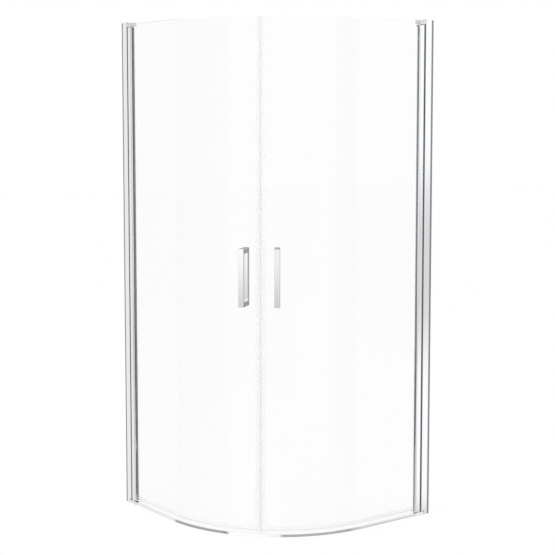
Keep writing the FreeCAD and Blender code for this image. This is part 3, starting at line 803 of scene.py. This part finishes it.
# ---- The enclosure's plan ----
@dataclass(frozen=True)
class Plan:
    """The enclosure seen from above: flat by each wall, quarter-round between."""

    width: float
    height: float
    radius: float = 0.545
    thickness: float = 0.031

    @property
    def flat(self) -> float:
        """Length of each flat stretch."""
        return self.width - self.radius

    @property
    def middle(self) -> float:
        """How far in the glass's middle lies."""
        return self.thickness / 2.0

    @property
    def mid_radius(self) -> float:
        """Radius of the round stretch at the glass's middle."""
        return self.radius - self.middle

    @property
    def seam(self) -> float:
        """Run from a room wall to the diagonal, along the glass's middle."""
        return self.flat + self.mid_radius * math.pi / 4.0

    def point(self, side: Side, run: np.ndarray, inward: np.ndarray, up: np.ndarray) -> np.ndarray:
        """Points of the frame from plan coordinates.

        The run goes straight for the flat length, then turns about the round front's centre through its angle
        (run - flat) / mid_radius, up to a quarter turn, and then goes straight again. inward shortens the
        radius. The right side's run is counted back from the far end, which mirrors it across the diagonal.

        Args:
            side: from which room wall the run is measured.
            run: distance along the glass's middle.
            inward: distance in from the outermost plane.
            up: height.

        Returns:
            An array with a last axis of x, y, z.
        """
        run = np.asarray(run, float)
        run = run if side is Side.LEFT else 2.0 * self.seam - run
        angle = np.clip((run - self.flat) / self.mid_radius, 0.0, math.pi / 2.0)
        tail = np.maximum(run - self.flat - self.mid_radius * math.pi / 2.0, 0.0)
        reach = self.radius - inward
        x = np.minimum(run, self.flat) - self.width / 2.0 + reach * np.sin(angle)
        y = self.width / 2.0 - self.flat - reach * np.cos(angle) + tail
        return np.stack(np.broadcast_arrays(x, y, up), -1).astype(float)

    def upright(self, side: Side) -> Place:
        """A place function for sections in (run, inward) that are carried upwards."""
        return lambda a, b, t: self.point(side, a, b, t)

    def closing(self, side: Side) -> Place:
        """A place function for sections in (distance back from the diagonal, offset from the middle)."""
        return lambda a, b, t: self.point(side, self.seam - a, self.middle + b, t)

    def swept(self, side: Side) -> Place:
        """A place function for sections in (inward, height) that are carried along the run."""
        return lambda a, b, t: self.point(side, t, a, b)

    def stations(self, start: float, end: float, chord: float = 0.0065) -> np.ndarray:
        """Stations of a run: the ends, where it starts and stops bending, and short chords round the bend.

        Args:
            start: where the run starts.
            end: where it ends.
            chord: the longest step round the bend.

        Returns:
            The stations, from start to end.
        """
        bend = self.mid_radius * math.pi / 2.0
        low, high = max(start, self.flat), min(end, self.flat + bend)
        turns = np.linspace(low, high, max(2, math.ceil((high - low) / chord) + 1))
        return np.unique(np.round(np.concatenate([[start], turns, [end]]), 9))

    def radial(self, side: Side, back: float) -> tuple[np.ndarray, np.ndarray, np.ndarray]:
        """Directions at a place on the round front.

        Args:
            side: on which side of the diagonal the place is.
            back: its angle from the diagonal.

        Returns:
            The round front's centre, and the outward and sideways directions at the place.
        """
        centre = np.array([self.flat - self.width / 2.0, self.width / 2.0 - self.flat, 0.0])
        angle = -math.pi / 4.0 - (back if side is Side.LEFT else -back)
        out = np.array([math.cos(angle), math.sin(angle), 0.0])
        return centre, out, np.array([-out[1], out[0], 0.0])


def heights(node: str) -> tuple[float, float]:
    """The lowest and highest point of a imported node."""
    low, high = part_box(node)
    return low.z, high.z


# ---- Sub-assemblies ----
@dataclass
class SubAssembly:
    """A group of pieces on one side, which rides on that side's door unless it is fixed to the frame."""

    plan: Plan
    side: Side
    FIXED = False

    def span(self, name: str) -> tuple[float, float]:
        """The lowest and highest point of this side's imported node."""
        return heights(self.side.node(name))

    def make(self, name: str, shell: Shell, slot: Slot, finish: Finish | None = None) -> None:
        """Makes the piece that stands for this side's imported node, as stand_in() does."""
        body = "frame" if self.FIXED else self.side.node("door")
        stand_in(self.side.node(name), shell, slot, body, finish)


@dataclass
class Hinge(SubAssembly):
    """A door's upright: the profile, bored for the pivot and slotted for the glass, and the slot's gasket."""

    start: float = 0.0435
    end: float = 0.075
    jaw_end: float = 0.070
    thickness: float = 0.023
    pivot: tuple[float, float] = (0.0535, 0.010)
    corner: float = 0.004
    inner_corner: float = 0.002
    bore: float = 0.007
    slot_floor: float = 0.0652
    slot_half: float = 0.00422
    lip_round: float = 0.0004
    gasket_inner: float = 0.00302
    gasket_outer: float = 0.0042
    gasket_floor: float = 0.00115
    gasket_lip: float = 0.0012
    gasket_proud: float = 0.0016

    def profile(self) -> Shell:
        """The extrusion between its end caps: two jaws round the glass, and the pivot's bore in its head."""
        near, far = self.plan.middle - self.slot_half, self.plan.middle + self.slot_half
        corners = [
            (self.start, 0.0, self.pivot[1]),
            (self.end, 0.0, self.corner),
            (self.end, near, self.lip_round),
            (self.slot_floor, near, self.lip_round),
            (self.slot_floor, far, self.lip_round),
            (self.jaw_end, far, self.lip_round),
            (self.jaw_end, self.thickness, self.inner_corner),
            (self.start, self.thickness, self.inner_corner),
        ]
        lines = [outline(corners, steps=14), circle(*self.pivot, self.bore)]
        return carried(lines, self.span("hinge_profile"), self.plan.upright(self.side))

    def lip(self, mouth: float) -> list[Corner]:
        """One leg of the gasket, from the slot's floor to a lip that covers the mouth of a jaw, and back."""
        inner, outer, tip = self.gasket_inner, self.gasket_outer, mouth + self.gasket_proud
        return [
            (self.slot_floor + 0.02 * MM, outer, 0.2 * MM),
            (mouth + 0.05 * MM, outer),
            (mouth + 0.05 * MM, outer + self.gasket_lip, 0.2 * MM),
            (mouth + 0.45 * MM, outer + self.gasket_lip - 0.1 * MM, 0.2 * MM),
            (tip, inner + 0.3 * MM, 0.1 * MM),
            (tip, inner),
            (self.slot_floor + self.gasket_floor, inner),
        ]

    def gasket(self) -> Shell:
        """A U round the glass's edge, with a lip at each jaw's mouth."""
        middle = self.plan.middle
        outside = [(a, middle - b, *r) for a, b, *r in self.lip(self.end)]
        inside = [(a, middle + b, *r) for a, b, *r in reversed(self.lip(self.jaw_end))]
        line = outline(outside + inside, steps=4)
        return carried([line], self.span("glass_gasket"), self.plan.upright(self.side))

    def build(self) -> None:
        """Makes the profile and the gasket."""
        self.make("hinge_profile", self.profile(), Slot.ALUMINIUM)
        self.make("glass_gasket", self.gasket(), Slot.DARK_SEAL, Finishes.GASKET)


@dataclass
class Pane(SubAssembly):
    """A door's glass: flat, then round, with ground edges, a notch at the top bracket and two holes."""

    thickness: float = 0.006
    start: float = 0.06642
    back: float = 0.0102
    notch_run: float = 0.080
    notch_height: float = 1.97198
    hole: float = 0.006
    hole_block: float = 0.011
    hole_back: float = 0.065
    hole_heights: tuple[float, float] = (0.907, 1.111)
    arris: float = 0.0006
    cells: int = 8
    clear_of_block: float = 1.05

    def lines(self) -> tuple[np.ndarray, np.ndarray, float]:
        """The grid's lines along the run and up the height, and the run of the drilled holes."""
        end = self.plan.seam - self.back
        out_radius = self.plan.radius - self.plan.middle + self.thickness / 2.0
        hole_run = self.plan.seam - self.hole_back * self.plan.mid_radius / out_radius
        low, high = self.span("glass_panel")
        block = np.linspace(-self.hole_block, self.hole_block, self.cells + 1)
        bend = self.plan.stations(self.start, end)
        bend = bend[np.abs(bend - hole_run) > self.hole_block * self.clear_of_block]
        runs = np.unique(np.concatenate([bend, [self.notch_run], hole_run + block]))
        blocks = [z + block for z in self.hole_heights]
        ups = np.unique(np.concatenate([[low, self.notch_height, high], *blocks]))
        return runs, ups, hole_run

    def sheet(self) -> tuple[np.ndarray, np.ndarray]:
        """The pane flattened out: points (run, height) and quads.

        A plain grid of the two sets of lines. Cells in the notch are left out. Round each hole the inner
        square of the block of cells is pulled out to the hole's circle, each point going along its own
        direction from the hole's centre, and the cells inside it are left out.
        """
        runs, ups, hole_run = self.lines()
        points = np.stack(np.meshgrid(runs, ups, indexing="ij"), -1).reshape(-1, 2)
        quads = grid_quads(len(runs), len(ups), closed=False)[:, [0, 3, 2, 1]]
        centre = points[quads].mean(1)
        keep = ~((centre[:, 0] < self.notch_run) & (centre[:, 1] > self.notch_height))
        ring = self.hole_block * (1.0 - 2.0 / self.cells)
        for z in self.hole_heights:
            hole = np.array([hole_run, z])
            keep &= np.abs(centre - hole).max(1) > ring
            off = points - hole
            on_ring = np.abs(np.abs(off).max(1) - ring) < ON_LINE
            points[on_ring] = hole + off[on_ring] / np.linalg.norm(off[on_ring], axis=1)[:, None] * self.hole
        used, index = np.unique(quads[keep], return_inverse=True)
        return points[used], index.reshape(-1, 4)

    def glass(self) -> Shell:
        """The pane as a solid.

        Both faces are the flattened sheet bent onto the plan; their border points are drawn in by the arris.
        The rim is a strip of four rows along the border: face, full outline near it, full outline near the
        other face, other face. A border edge is one that only one quad has, and a border point's way out is
        the mean of its two edges' ways out.
        """
        flat, quads = self.sheet()
        edges = sides(quads)
        pairs = np.sort(edges, axis=1)
        _, which, counts = np.unique(pairs, axis=0, return_inverse=True, return_counts=True)
        border = edges[counts[which.ravel()] == 1]
        along = flat[border[:, 1]] - flat[border[:, 0]]
        out = np.column_stack([along[:, 1], -along[:, 0]]) / np.linalg.norm(along, axis=1)[:, None]
        before, after = np.zeros_like(flat), np.zeros_like(flat)
        before[border[:, 0]], after[border[:, 1]] = out, out
        way = (before + after) / (1.0 + np.einsum("ij,ij->i", before, after))[:, None]
        count, half = len(flat), self.thickness / 2.0
        rows = []
        for off, drawn in ((-half, 1.0), (-half + self.arris, 0.0), (half - self.arris, 0.0), (half, 1.0)):
            run, up = (flat - way * self.arris * drawn).T
            rows.append(self.plan.point(self.side, run, np.full(count, self.plan.middle + off), up))
        a, b = border.T
        rim = [np.stack([a + k, b + k, b + k + count, a + k + count], -1) for k in range(0, 3 * count, count)]
        faces = np.concatenate([quads[:, ::-1], quads + 3 * count, *rim])
        used, index = np.unique(faces, return_inverse=True)
        points, places = np.concatenate(rows), np.concatenate([flat] * 4)
        return Shell(points[used], index.reshape(-1, 4), places[faces]).outwards()

    def build(self) -> None:
        """Makes the pane."""
        self.make("glass_panel", self.glass(), Slot.GLASS)


@dataclass
class ClosingEdge(SubAssembly):
    """The clip-on closing seal with its magnet, measured back from the diagonal."""

    face: float = 0.0002
    holder_end: float = 0.01018
    holder_half: float = 0.005
    arm_inner: float = 0.00302
    arm_outer: float = 0.0042
    arm_taper: float = 0.0165
    arm_tip: float = 0.0202
    tip_outer: float = 0.0034
    magnet: tuple[float, float] = (0.0012, 0.0052)
    magnet_half: float = 0.0035
    magnet_edge: float = 0.0003
    pocket_gap: float = 0.0001
    pocket_edge: float = 0.0002

    def seal(self) -> Shell:
        """The vinyl profile: a rounded holder with the magnet's pocket, and two tapering arms on the pane."""
        half = [
            (self.face, -self.holder_half, 0.9 * MM),
            (self.holder_end, -self.holder_half, 0.9 * MM),
            (self.holder_end, -self.arm_outer, 0.2 * MM),
            (self.arm_taper, -self.arm_outer, 1.5 * MM),
            (self.arm_tip, -self.tip_outer, 0.15 * MM),
            (self.arm_tip, -self.arm_inner, 0.1 * MM),
            (self.holder_end, -self.arm_inner, 0.2 * MM),
        ]
        span = (self.magnet[0] - self.pocket_gap, self.magnet[1] + self.pocket_gap)
        room = self.magnet_half + self.pocket_gap
        pocket = box(span, (-room, room), self.pocket_edge, hole=True)
        lines = [outline(both_halves(half), steps=5), outline(pocket, steps=3)]
        return carried(lines, self.span("magnet_seal"), self.plan.closing(self.side))

    def strip(self) -> Shell:
        """The flexible magnet in the pocket, with softened edges."""
        line = outline(box(self.magnet, (-self.magnet_half, self.magnet_half), self.magnet_edge), steps=4)
        run, shrink = rim_stations(*self.span("magnet_strip"), self.magnet_edge)
        return carried([line], run, self.plan.closing(self.side), shrink)

    def build(self) -> None:
        """Makes the seal and the magnet."""
        self.make("magnet_seal", self.seal(), Slot.CLEAR_SEAL)
        self.make("magnet_strip", self.strip(), Slot.MAGNET)


@dataclass
class BottomSeal(SubAssembly):
    """The sweep under a door: a clip on the glass's lower edge and a curved fin over the threshold."""

    start: float = 0.077
    back: float = 0.0207
    inner: float = 0.00302
    wall: float = 0.001
    base: float = 0.003
    glass_low: float = 0.025
    fin_lean: float = 0.003
    fin: float = 0.001
    fin_root: float = 1.2
    bend_lean: float = 0.75
    bend_height: float = 0.4

    def sweep(self) -> Shell:
        """The section, with rounded lips and a leaning fin, carried along the door."""
        low, high = self.span("bottom_seal")
        floor, under = self.glass_low - 0.02 * MM, self.glass_low - self.base
        inner, outer = self.inner, self.inner + self.wall
        bend, leaning = low + self.bend_height * (under - low), self.fin_lean * self.bend_lean
        corners = [
            (self.fin_lean, low, 0.3 * MM),
            (self.fin_lean + self.fin, low, 0.3 * MM),
            (leaning + self.fin, bend, 3.0 * MM),
            (self.fin * self.fin_root, under, 1.0 * MM),
            (outer, under, 0.8 * MM),
            (outer, high - 2.0 * MM, 1.5 * MM),
            (inner + 0.35 * MM, high, 0.15 * MM),
            (inner, high, 0.1 * MM),
            (inner, floor, 0.3 * MM),
            (-inner, floor, 0.3 * MM),
            (-inner, high, 0.1 * MM),
            (-inner - 0.35 * MM, high, 0.15 * MM),
            (-outer, high - 2.0 * MM, 1.5 * MM),
            (-outer, under, 0.8 * MM),
            (0.0, under, 1.0 * MM),
            (leaning, bend, 3.0 * MM),
        ]
        line = outline([(self.plan.middle + a, *rest) for a, *rest in corners], steps=5)
        run = self.plan.stations(self.start, self.plan.seam - self.back)
        return carried([line], run, self.plan.swept(self.side))

    def build(self) -> None:
        """Makes the seal."""
        self.make("bottom_seal", self.sweep(), Slot.CLEAR_SEAL)


@dataclass
class PostSeal(SubAssembly):
    """The lip seal in the post's front groove, which closes the gap to the hinge profile."""

    FIXED = True
    face: float = 0.042
    gap: float = 0.0011
    mouth_half: float = 0.00148
    neck: float = 0.001
    root: float = 0.00138
    root_half: float = 0.00238
    lip_half: float = 0.0148
    full_half: float = 0.8

    def lip(self) -> Shell:
        """A T-shaped root in the groove and a flat lip over the post's end, thinned towards its edges."""
        lip_low, lip_high = self.face + 0.02 * MM, self.face + self.gap
        shoulder = self.face - self.neck - 0.02 * MM
        half = [
            (self.face - self.neck - self.root, -self.root_half, 0.2 * MM),
            (shoulder, -self.root_half, 0.1 * MM),
            (shoulder, -self.mouth_half),
            (lip_low, -self.mouth_half),
            (lip_low, -self.lip_half),
            (lip_low + 0.25 * MM, -self.lip_half, 0.1 * MM),
            (lip_high, -self.lip_half * self.full_half, 2.0 * MM),
        ]
        line = outline(both_halves(half, self.plan.middle), steps=4)
        return carried([line], self.span("hinge_seal"), self.plan.upright(self.side))

    def build(self) -> None:
        """Makes the seal."""
        self.make("hinge_seal", self.lip(), Slot.DARK_SEAL)


@dataclass
class PostFasteners(SubAssembly):
    """What a post's inner face shows: cross-recess screws, and snap covers over the clamp screws."""

    FIXED = True
    head: float = 0.0036
    head_height: float = 0.0022
    shank: float = 0.0019
    shank_length: float = 0.006
    recess: float = 0.0012
    recess_half: float = 0.0005
    recess_reach: float = 0.0022
    cover: float = 0.0052
    cover_height: float = 0.0032
    cover_gap: float = 0.0001
    skirt: float = 0.45
    head_rings: int = 22
    inner_ring: float = 0.05
    cover_rings: int = 12

    def row(
        self, name: str, radius: float, count: int, profile: np.ndarray, lift: np.ndarray | None = None
    ) -> Shell:
        """A row of round pieces on the post's inner face.

        Args:
            name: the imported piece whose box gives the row's place and length.
            radius: the pieces' outer radius.
            count: how many there are.
            profile: each one's outline.
            lift: heights to add to it, as revolved() takes them.

        Returns:
            The pieces in one mesh.
        """
        low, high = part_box(self.side.node(name))
        face = self.plan.width / 2.0 - self.plan.thickness
        left = self.side is Side.LEFT
        inwards = np.array([0.0, 1.0, 0.0]) if left else np.array([-1.0, 0.0, 0.0])
        x, y = ((low.x + high.x) / 2.0, -face) if left else (face, (low.y + high.y) / 2.0)
        ups = np.linspace(low.z + radius, high.z - radius, count)
        return joined([revolved(profile, np.array([x, y, up]), inwards, lift) for up in ups])

    def screws(self) -> Shell:
        """Pan-head screws.

        The head's height over radius r is an ellipse, and a cross is pressed into it: the depth falls off
        smoothly with the distance from the nearer of two crossing lines and with the distance from the
        centre.
        """
        rings = np.linspace(self.inner_ring, 1.0, self.head_rings) * self.head
        dome = self.head_height * np.sqrt(np.clip(1.0 - (rings / self.head) ** 4, 0.0, 1.0))
        turns = np.linspace(0.0, 2.0 * math.pi, ROUND_STEPS, endpoint=False)
        a, b = rings[:, None] * np.cos(turns), rings[:, None] * np.sin(turns)
        near = np.minimum(np.abs(a), np.abs(b)) / self.recess_half
        far = rings[:, None] / self.recess_reach
        press = np.clip(1.5 - near, 0.0, 1.0) * np.clip(2.0 - 2.0 * far, 0.0, 1.0)
        shank = np.array([[self.shank, 0.0], [self.shank, -self.shank_length]])
        top = np.column_stack([rings, dome])
        profile = np.concatenate([[[0.0, self.head_height]], top, shank, [[0.0, -self.shank_length]]])
        lift = np.concatenate([-self.recess * press, np.zeros((len(shank), len(turns)))])
        return self.row("bracket_screws", self.head, 2, profile, lift)

    def covers(self) -> Shell:
        """Low domed covers: a straight skirt, then a quarter of an ellipse to the middle."""
        turn = np.linspace(math.pi / 2.0, 0.0, self.cover_rings)[1:]
        skirt = self.cover_height * self.skirt
        rise = skirt + (self.cover_height - skirt) * np.sin(turn)
        dome = np.column_stack([self.cover * np.cos(turn), rise])
        room, roof = self.head + self.cover_gap, self.head_height + self.cover_gap
        under = [[self.cover, 0.0], [room, 0.0], [room, roof], [0.0, roof]]
        profile = np.concatenate([[[0.0, self.cover_height]], dome, under])
        return self.row("screw_covers", self.cover, 3, profile)

    def build(self) -> None:
        """Makes the screws and the covers."""
        self.make("bracket_screws", self.screws(), Slot.STEEL)
        self.make("screw_covers", self.covers(), Slot.PLATED_PLASTIC)


@dataclass
class Handles(SubAssembly):
    """A door's pair of square bar handles, outside and inside, and the soft pads under their feet."""

    glass: float = 0.006
    back: float = 0.065
    middle: float = 1.009
    length: float = 0.224
    width: float = 0.021
    reach: float = 0.036
    bar: float = 0.009
    leg: float = 0.020
    edge: float = 0.0008
    pad: float = 0.001
    pad_margin: float = 0.001
    pad_corner: float = 0.0015
    pad_edge: float = 0.00025
    stud: float = 0.00302
    fit: float = 0.00002

    def face(self, way: int) -> float:
        """How far in the glass face lies that a handle stands on; way is -1 outside and 1 inside."""
        return self.plan.middle + way * self.glass / 2.0

    def seat(self, way: int) -> float:
        """How far a flat foot stands off the curved glass so that its edges clear it."""
        return self.width**2 / 8.0 / (self.plan.radius - self.face(way)) + self.fit

    def off_glass(self, way: int) -> Place:
        """Finds places near a handle's middle line.

        Args:
            way: -1 outside and 1 inside.

        Returns:
            A place function from (distance off the glass, sideways, height).
        """
        turn = self.back / (self.plan.radius - self.face(-1))
        centre, out, across = self.plan.radial(self.side, turn)
        base = self.plan.radius - self.face(way)

        def place(off: np.ndarray, sideways: np.ndarray, up: np.ndarray) -> np.ndarray:
            """centre + outward direction times the radius there, plus the sideways step, at its height."""
            flat = centre + out * (base - way * off)[..., None] + across * sideways[..., None]
            return np.concatenate([flat[..., :2], up[..., None]], -1)

        return place

    def handle(self, way: int) -> Shell:
        """A square D with a window: its outline in (off the glass, height), carried across the width.

        Args:
            way: -1 outside and 1 inside.

        Returns:
            The handle.
        """
        low, high = self.middle - self.length / 2.0, self.middle + self.length / 2.0
        foot = self.seat(way) + self.pad + self.fit
        inside = self.reach - self.bar
        corners = [
            (foot, low),
            (self.reach, low),
            (self.reach, high),
            (foot, high),
            (foot, high - self.leg),
            (inside, high - self.leg),
            (inside, low + self.leg),
            (foot, low + self.leg),
        ]
        line = outline([(*corner, self.edge) for corner in corners], steps=5)
        run, shrink = rim_stations(-self.width / 2.0, self.width / 2.0, self.edge)
        place = self.off_glass(way)
        return carried([line], run, lambda a, b, t: place(a, t, b), shrink)

    def soft_pad(self, way: int, up: float) -> Shell:
        """One pad with rounded corners and the stud's hole.

        Args:
            way: -1 outside and 1 inside.
            up: the height of its middle.

        Returns:
            The pad.
        """
        half_up, half_across = self.leg / 2.0 - self.pad_margin, self.width / 2.0 - self.pad_margin
        corners = box((-half_across, half_across), (up - half_up, up + half_up), self.pad_corner)
        lines = [outline(corners, steps=5), circle(0.0, up, self.stud)]
        seat, place = self.seat(way), self.off_glass(way)
        run, shrink = rim_stations(seat, seat + self.pad, self.pad_edge, steps=3)
        return carried(lines, run, lambda a, b, t: place(t, a, b), shrink)

    def build(self) -> None:
        """Makes the two handles and the four pads."""
        reach = (self.length - self.leg) / 2.0
        pads = [self.soft_pad(way, self.middle + up) for up in (-reach, reach) for way in (-1, 1)]
        self.make("outer_handle", self.handle(-1), Slot.CHROME)
        self.make("inner_handle", self.handle(1), Slot.CHROME)
        self.make("handle_washers", joined(pads), Slot.SOFT_PAD)


@dataclass
class Threshold:
    """The hollow strip on the floor between the two pivot blocks, and the sealing tape under it."""

    plan: Plan
    start: float = 0.0765
    inset: float = 0.003
    width: float = 0.021
    wall: float = 0.0015
    top_round: float = 0.002
    foot_round: float = 0.0004
    tape_margin: float = 0.003

    def swept(self, lines: list[np.ndarray]) -> Shell:
        """A section carried from one block to the other."""
        run = self.plan.stations(self.start, 2.0 * self.plan.seam - self.start)
        return carried(lines, run, self.plan.swept(Side.LEFT))

    def strip(self) -> Shell:
        """A rounded box section with a hollow, carried round the front."""
        low, high = heights("threshold_strip")
        out, inner = self.inset, self.inset + self.width
        outer = [
            (out, low, self.foot_round),
            (inner, low, self.foot_round),
            (inner, high, self.top_round),
            (out, high, self.top_round),
        ]
        across, up = (out + self.wall, inner - self.wall), (low + self.wall, high - self.wall)
        hollow = box(across, up, self.foot_round, hole=True)
        return self.swept([outline(outer, steps=8), outline(hollow, steps=3)])

    def tape(self) -> Shell:
        """A flat tape with rounded long edges."""
        across = (self.inset + self.tape_margin, self.inset + self.width - self.tape_margin)
        return self.swept([outline(box(across, heights("threshold_bedding"), self.foot_round), steps=4)])

    def build(self) -> None:
        """Makes the strip and the tape."""
        stand_in("threshold_strip", self.strip(), Slot.ALUMINIUM, "frame", Finishes.SWEPT_ALUMINIUM)
        stand_in("threshold_bedding", self.tape(), Slot.SOFT_PAD, "frame")


def dress_packed_nodes() -> None:
    """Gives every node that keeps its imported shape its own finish, or that of its record slot."""
    special = {side.node(name): finish for side in Side for name, finish in Finishes.BY_PIECE.items()}
    for subpart in frame["record"]["subparts"]:
        name = subpart["node"]
        node = frame["nodes"][name]
        finish = special.get(name, Finishes.BY_SLOT[Slot(subpart["material_slot"])])
        if not node.material_slots:
            node.data.materials.append(finish.material())
        for place in node.material_slots:
            place.material = finish.material()
        log.info("%s: %s%s", name, finish.name, " (not shown)" if node.hide_render else "")


# ---- Studio ----
@dataclass(frozen=True)
class Card:
    """A soft-edged area that bright metal mirrors: where it is, in degrees, and how bright it is."""

    centre: float
    half: float
    low: float
    high: float
    soft: float
    level: float


@dataclass
class Studio:
    """A white studio: pale floor, soft light, and what bright metal mirrors."""

    light_level: float = 0.85
    mirrored_level: float = 1.06
    floor_size: float = 40.0
    floor_drop: float = 0.0003
    floor_share: float = 0.12
    floor_lit: float = 0.9
    plain_floor: float = 0.85
    key_power: float = 60.0
    key_size: float = 2.5
    key_place: tuple[float, float, float] = (1.5, -4.0, 4.0)
    key_aim: tuple[float, float, float] = (0.0, 0.0, 1.0)
    # centre, half, low, high, soft, level; a later card hides the ones before it
    cards: tuple[Card, ...] = (
        Card(-150.0, 14.0, -90.0, 90.0, 8.0, 0.88),
        Card(24.0, 11.0, -25.0, 12.0, 5.0, 0.085),
        Card(-112.0, 29.0, -25.0, 12.0, 6.0, 0.2),
        Card(-114.0, 28.0, -25.0, -14.5, 4.0, 0.42),
        Card(105.0, 48.0, -25.0, 9.0, 6.0, 0.33),
        Card(142.0, 14.0, -25.0, -11.0, 4.0, 0.03),
        Card(-25.0, 24.0, -90.0, 90.0, 14.0, 0.97),
        Card(-4.0, 32.0, -22.0, -14.5, 4.0, 0.45),
        Card(36.0, 8.0, -22.0, -16.4, 1.0, 0.62),
        Card(-55.0, 32.0, -12.0, -7.5, 4.0, 0.58),
        Card(43.0, 7.0, -9.5, -3.0, 4.0, 0.74),
    )

    def world(self) -> None:
        """White to the camera and through glass; to mirrors, the cards on white; even light else."""
        world = bpy.data.worlds.new("studio")
        bpy.context.scene.world = world
        graph = Graph.emptied(world)
        direction = graph.add("ShaderNodeTexCoord").outputs["Generated"]
        way = graph.add("ShaderNodeSeparateXYZ", {0: direction}).outputs
        looked_at = {
            "Heading": graph.math("DEGREES", graph.math("ARCTAN2", way[1], way[0])),
            "Tilt": graph.math("DEGREES", graph.math("ARCSINE", way[2])),
        }
        mirrored = grey(self.mirrored_level)
        for card in self.cards:
            spans = {key: getattr(card, key.lower()) for key in ("Centre", "Half", "Low", "High", "Soft")}
            mask = EFFECTS.place(graph, Effect.CARD, {**looked_at, **spans})[0]
            mirrored = graph.blend(mask, mirrored, grey(card.level))
        path = graph.add("ShaderNodeLightPath").outputs
        lit = graph.blend(path["Is Glossy Ray"], grey(self.light_level), mirrored)
        colour = graph.blend(self.seen(graph, path), lit, grey(1.0))
        ground = graph.add("ShaderNodeBackground", {"Color": colour, "Strength": 1.0})
        graph.add("ShaderNodeOutputWorld", {"Surface": ground.outputs[0]})

    def seen(self, graph: Graph, path: Sockets) -> Socket:
        """1 for what the camera sees, straight or through glass, and 0 for what any surface mirrors."""
        straight = graph.math("MAXIMUM", path["Is Camera Ray"], path["Is Transmission Ray"])
        return graph.math("MULTIPLY", straight, graph.math("LESS_THAN", path["Glossy Depth"], 0.5))

    def paint(self) -> bpy.types.Material:
        """The floor's paint: white but for shadows where it is seen, and not there for what is mirrored."""
        paint = bpy.data.materials.new("studio_floor")
        graph = Graph.emptied(paint)
        path = graph.add("ShaderNodeLightPath").outputs
        shadowed = graph.add("ShaderNodeBsdfDiffuse", {"Color": grey(self.floor_share)})
        glow = graph.add("ShaderNodeEmission", {"Strength": 1.0 - self.floor_share * self.floor_lit})
        white = graph.add("ShaderNodeAddShader", {0: shadowed.outputs[0], 1: glow.outputs[0]})
        plain = graph.add("ShaderNodeBsdfDiffuse", {"Color": grey(self.plain_floor)})
        shown = graph.mix(self.seen(graph, path), plain, white)
        mirrored = graph.math("GREATER_THAN", path["Glossy Depth"], 0.5)
        mix = graph.mix(mirrored, shown, graph.add("ShaderNodeBsdfTransparent"))
        graph.add("ShaderNodeOutputMaterial", {"Surface": mix.outputs[0]})
        return paint

    def floor(self) -> None:
        """A white floor that takes the object's shadow; mirrors look past it."""
        half = self.floor_size / 2.0
        mesh = bpy.data.meshes.new("studio_floor")
        corners = [(-half, -half), (half, -half), (half, half), (-half, half)]
        mesh.from_pydata([(x, y, -self.floor_drop) for x, y in corners], [], [(0, 1, 2, 3)])
        mesh.materials.append(self.paint())
        floor = placed("studio_floor", mesh)
        floor.visible_glossy = False
        floor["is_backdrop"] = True

    def lamp(self) -> None:
        """One large soft box, from above and in front."""
        light = bpy.data.lights.new("soft_box", "AREA")
        light.energy = self.key_power
        light.size = self.key_size
        lamp = placed("soft_box", light)
        lamp.location = self.key_place
        aim = Vector(self.key_aim) - Vector(self.key_place)
        lamp.rotation_euler = aim.to_track_quat("-Z", "Y").to_euler()
        lamp.visible_camera = False
        lamp.visible_glossy = False
        lamp.visible_transmission = False

    def build(self) -> None:
        """Sets the world, the floor, the lamp and how colours are shown."""
        self.world()
        self.floor()
        self.lamp()
        scene = bpy.context.scene
        scene.view_settings.view_transform = "Standard"
        scene.cycles.use_denoising = True
        scene.cycles.transmission_bounces = 24
        scene.cycles.max_bounces = 28


@dataclass
class PhotoCamera:
    """The camera at the photograph's place, tilted down a little instead of most of its upward shift."""

    place: tuple[float, float, float] = (4.387, -3.284, 1.622)
    heading: float = 53.081
    pitch: float = 5.33
    lens: float = 87.31
    shift: float = -0.065
    sensor: float = 36.0
    far: float = 100.0

    def build(self) -> None:
        """Makes the camera and gives it to the scene."""
        data = bpy.data.cameras.new("photo_camera")
        data.sensor_width = self.sensor
        data.lens = self.lens
        data.shift_y = self.shift
        data.clip_end = self.far
        camera = placed("photo_camera", data)
        camera.location = self.place
        camera.rotation_euler = Euler((math.radians(90.0 - self.pitch), 0.0, math.radians(self.heading)))
        bpy.context.scene.camera = camera


def main() -> None:
    """Builds the studio, the camera and every piece."""
    logging.basicConfig(level=logging.INFO, format="%(name)s: %(message)s")
    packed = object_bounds()
    low, high = packed
    plan = Plan(width=high.x - low.x, height=high.z - low.z)
    PhotoCamera().build()
    Studio().build()
    dress_packed_nodes()
    for side in Side:
        for assembly in (Hinge, Pane, ClosingEdge, BottomSeal, PostSeal, PostFasteners, Handles):
            assembly(plan, side).build()
    Threshold(plan).build()


if __name__ == "__main__":
    main()
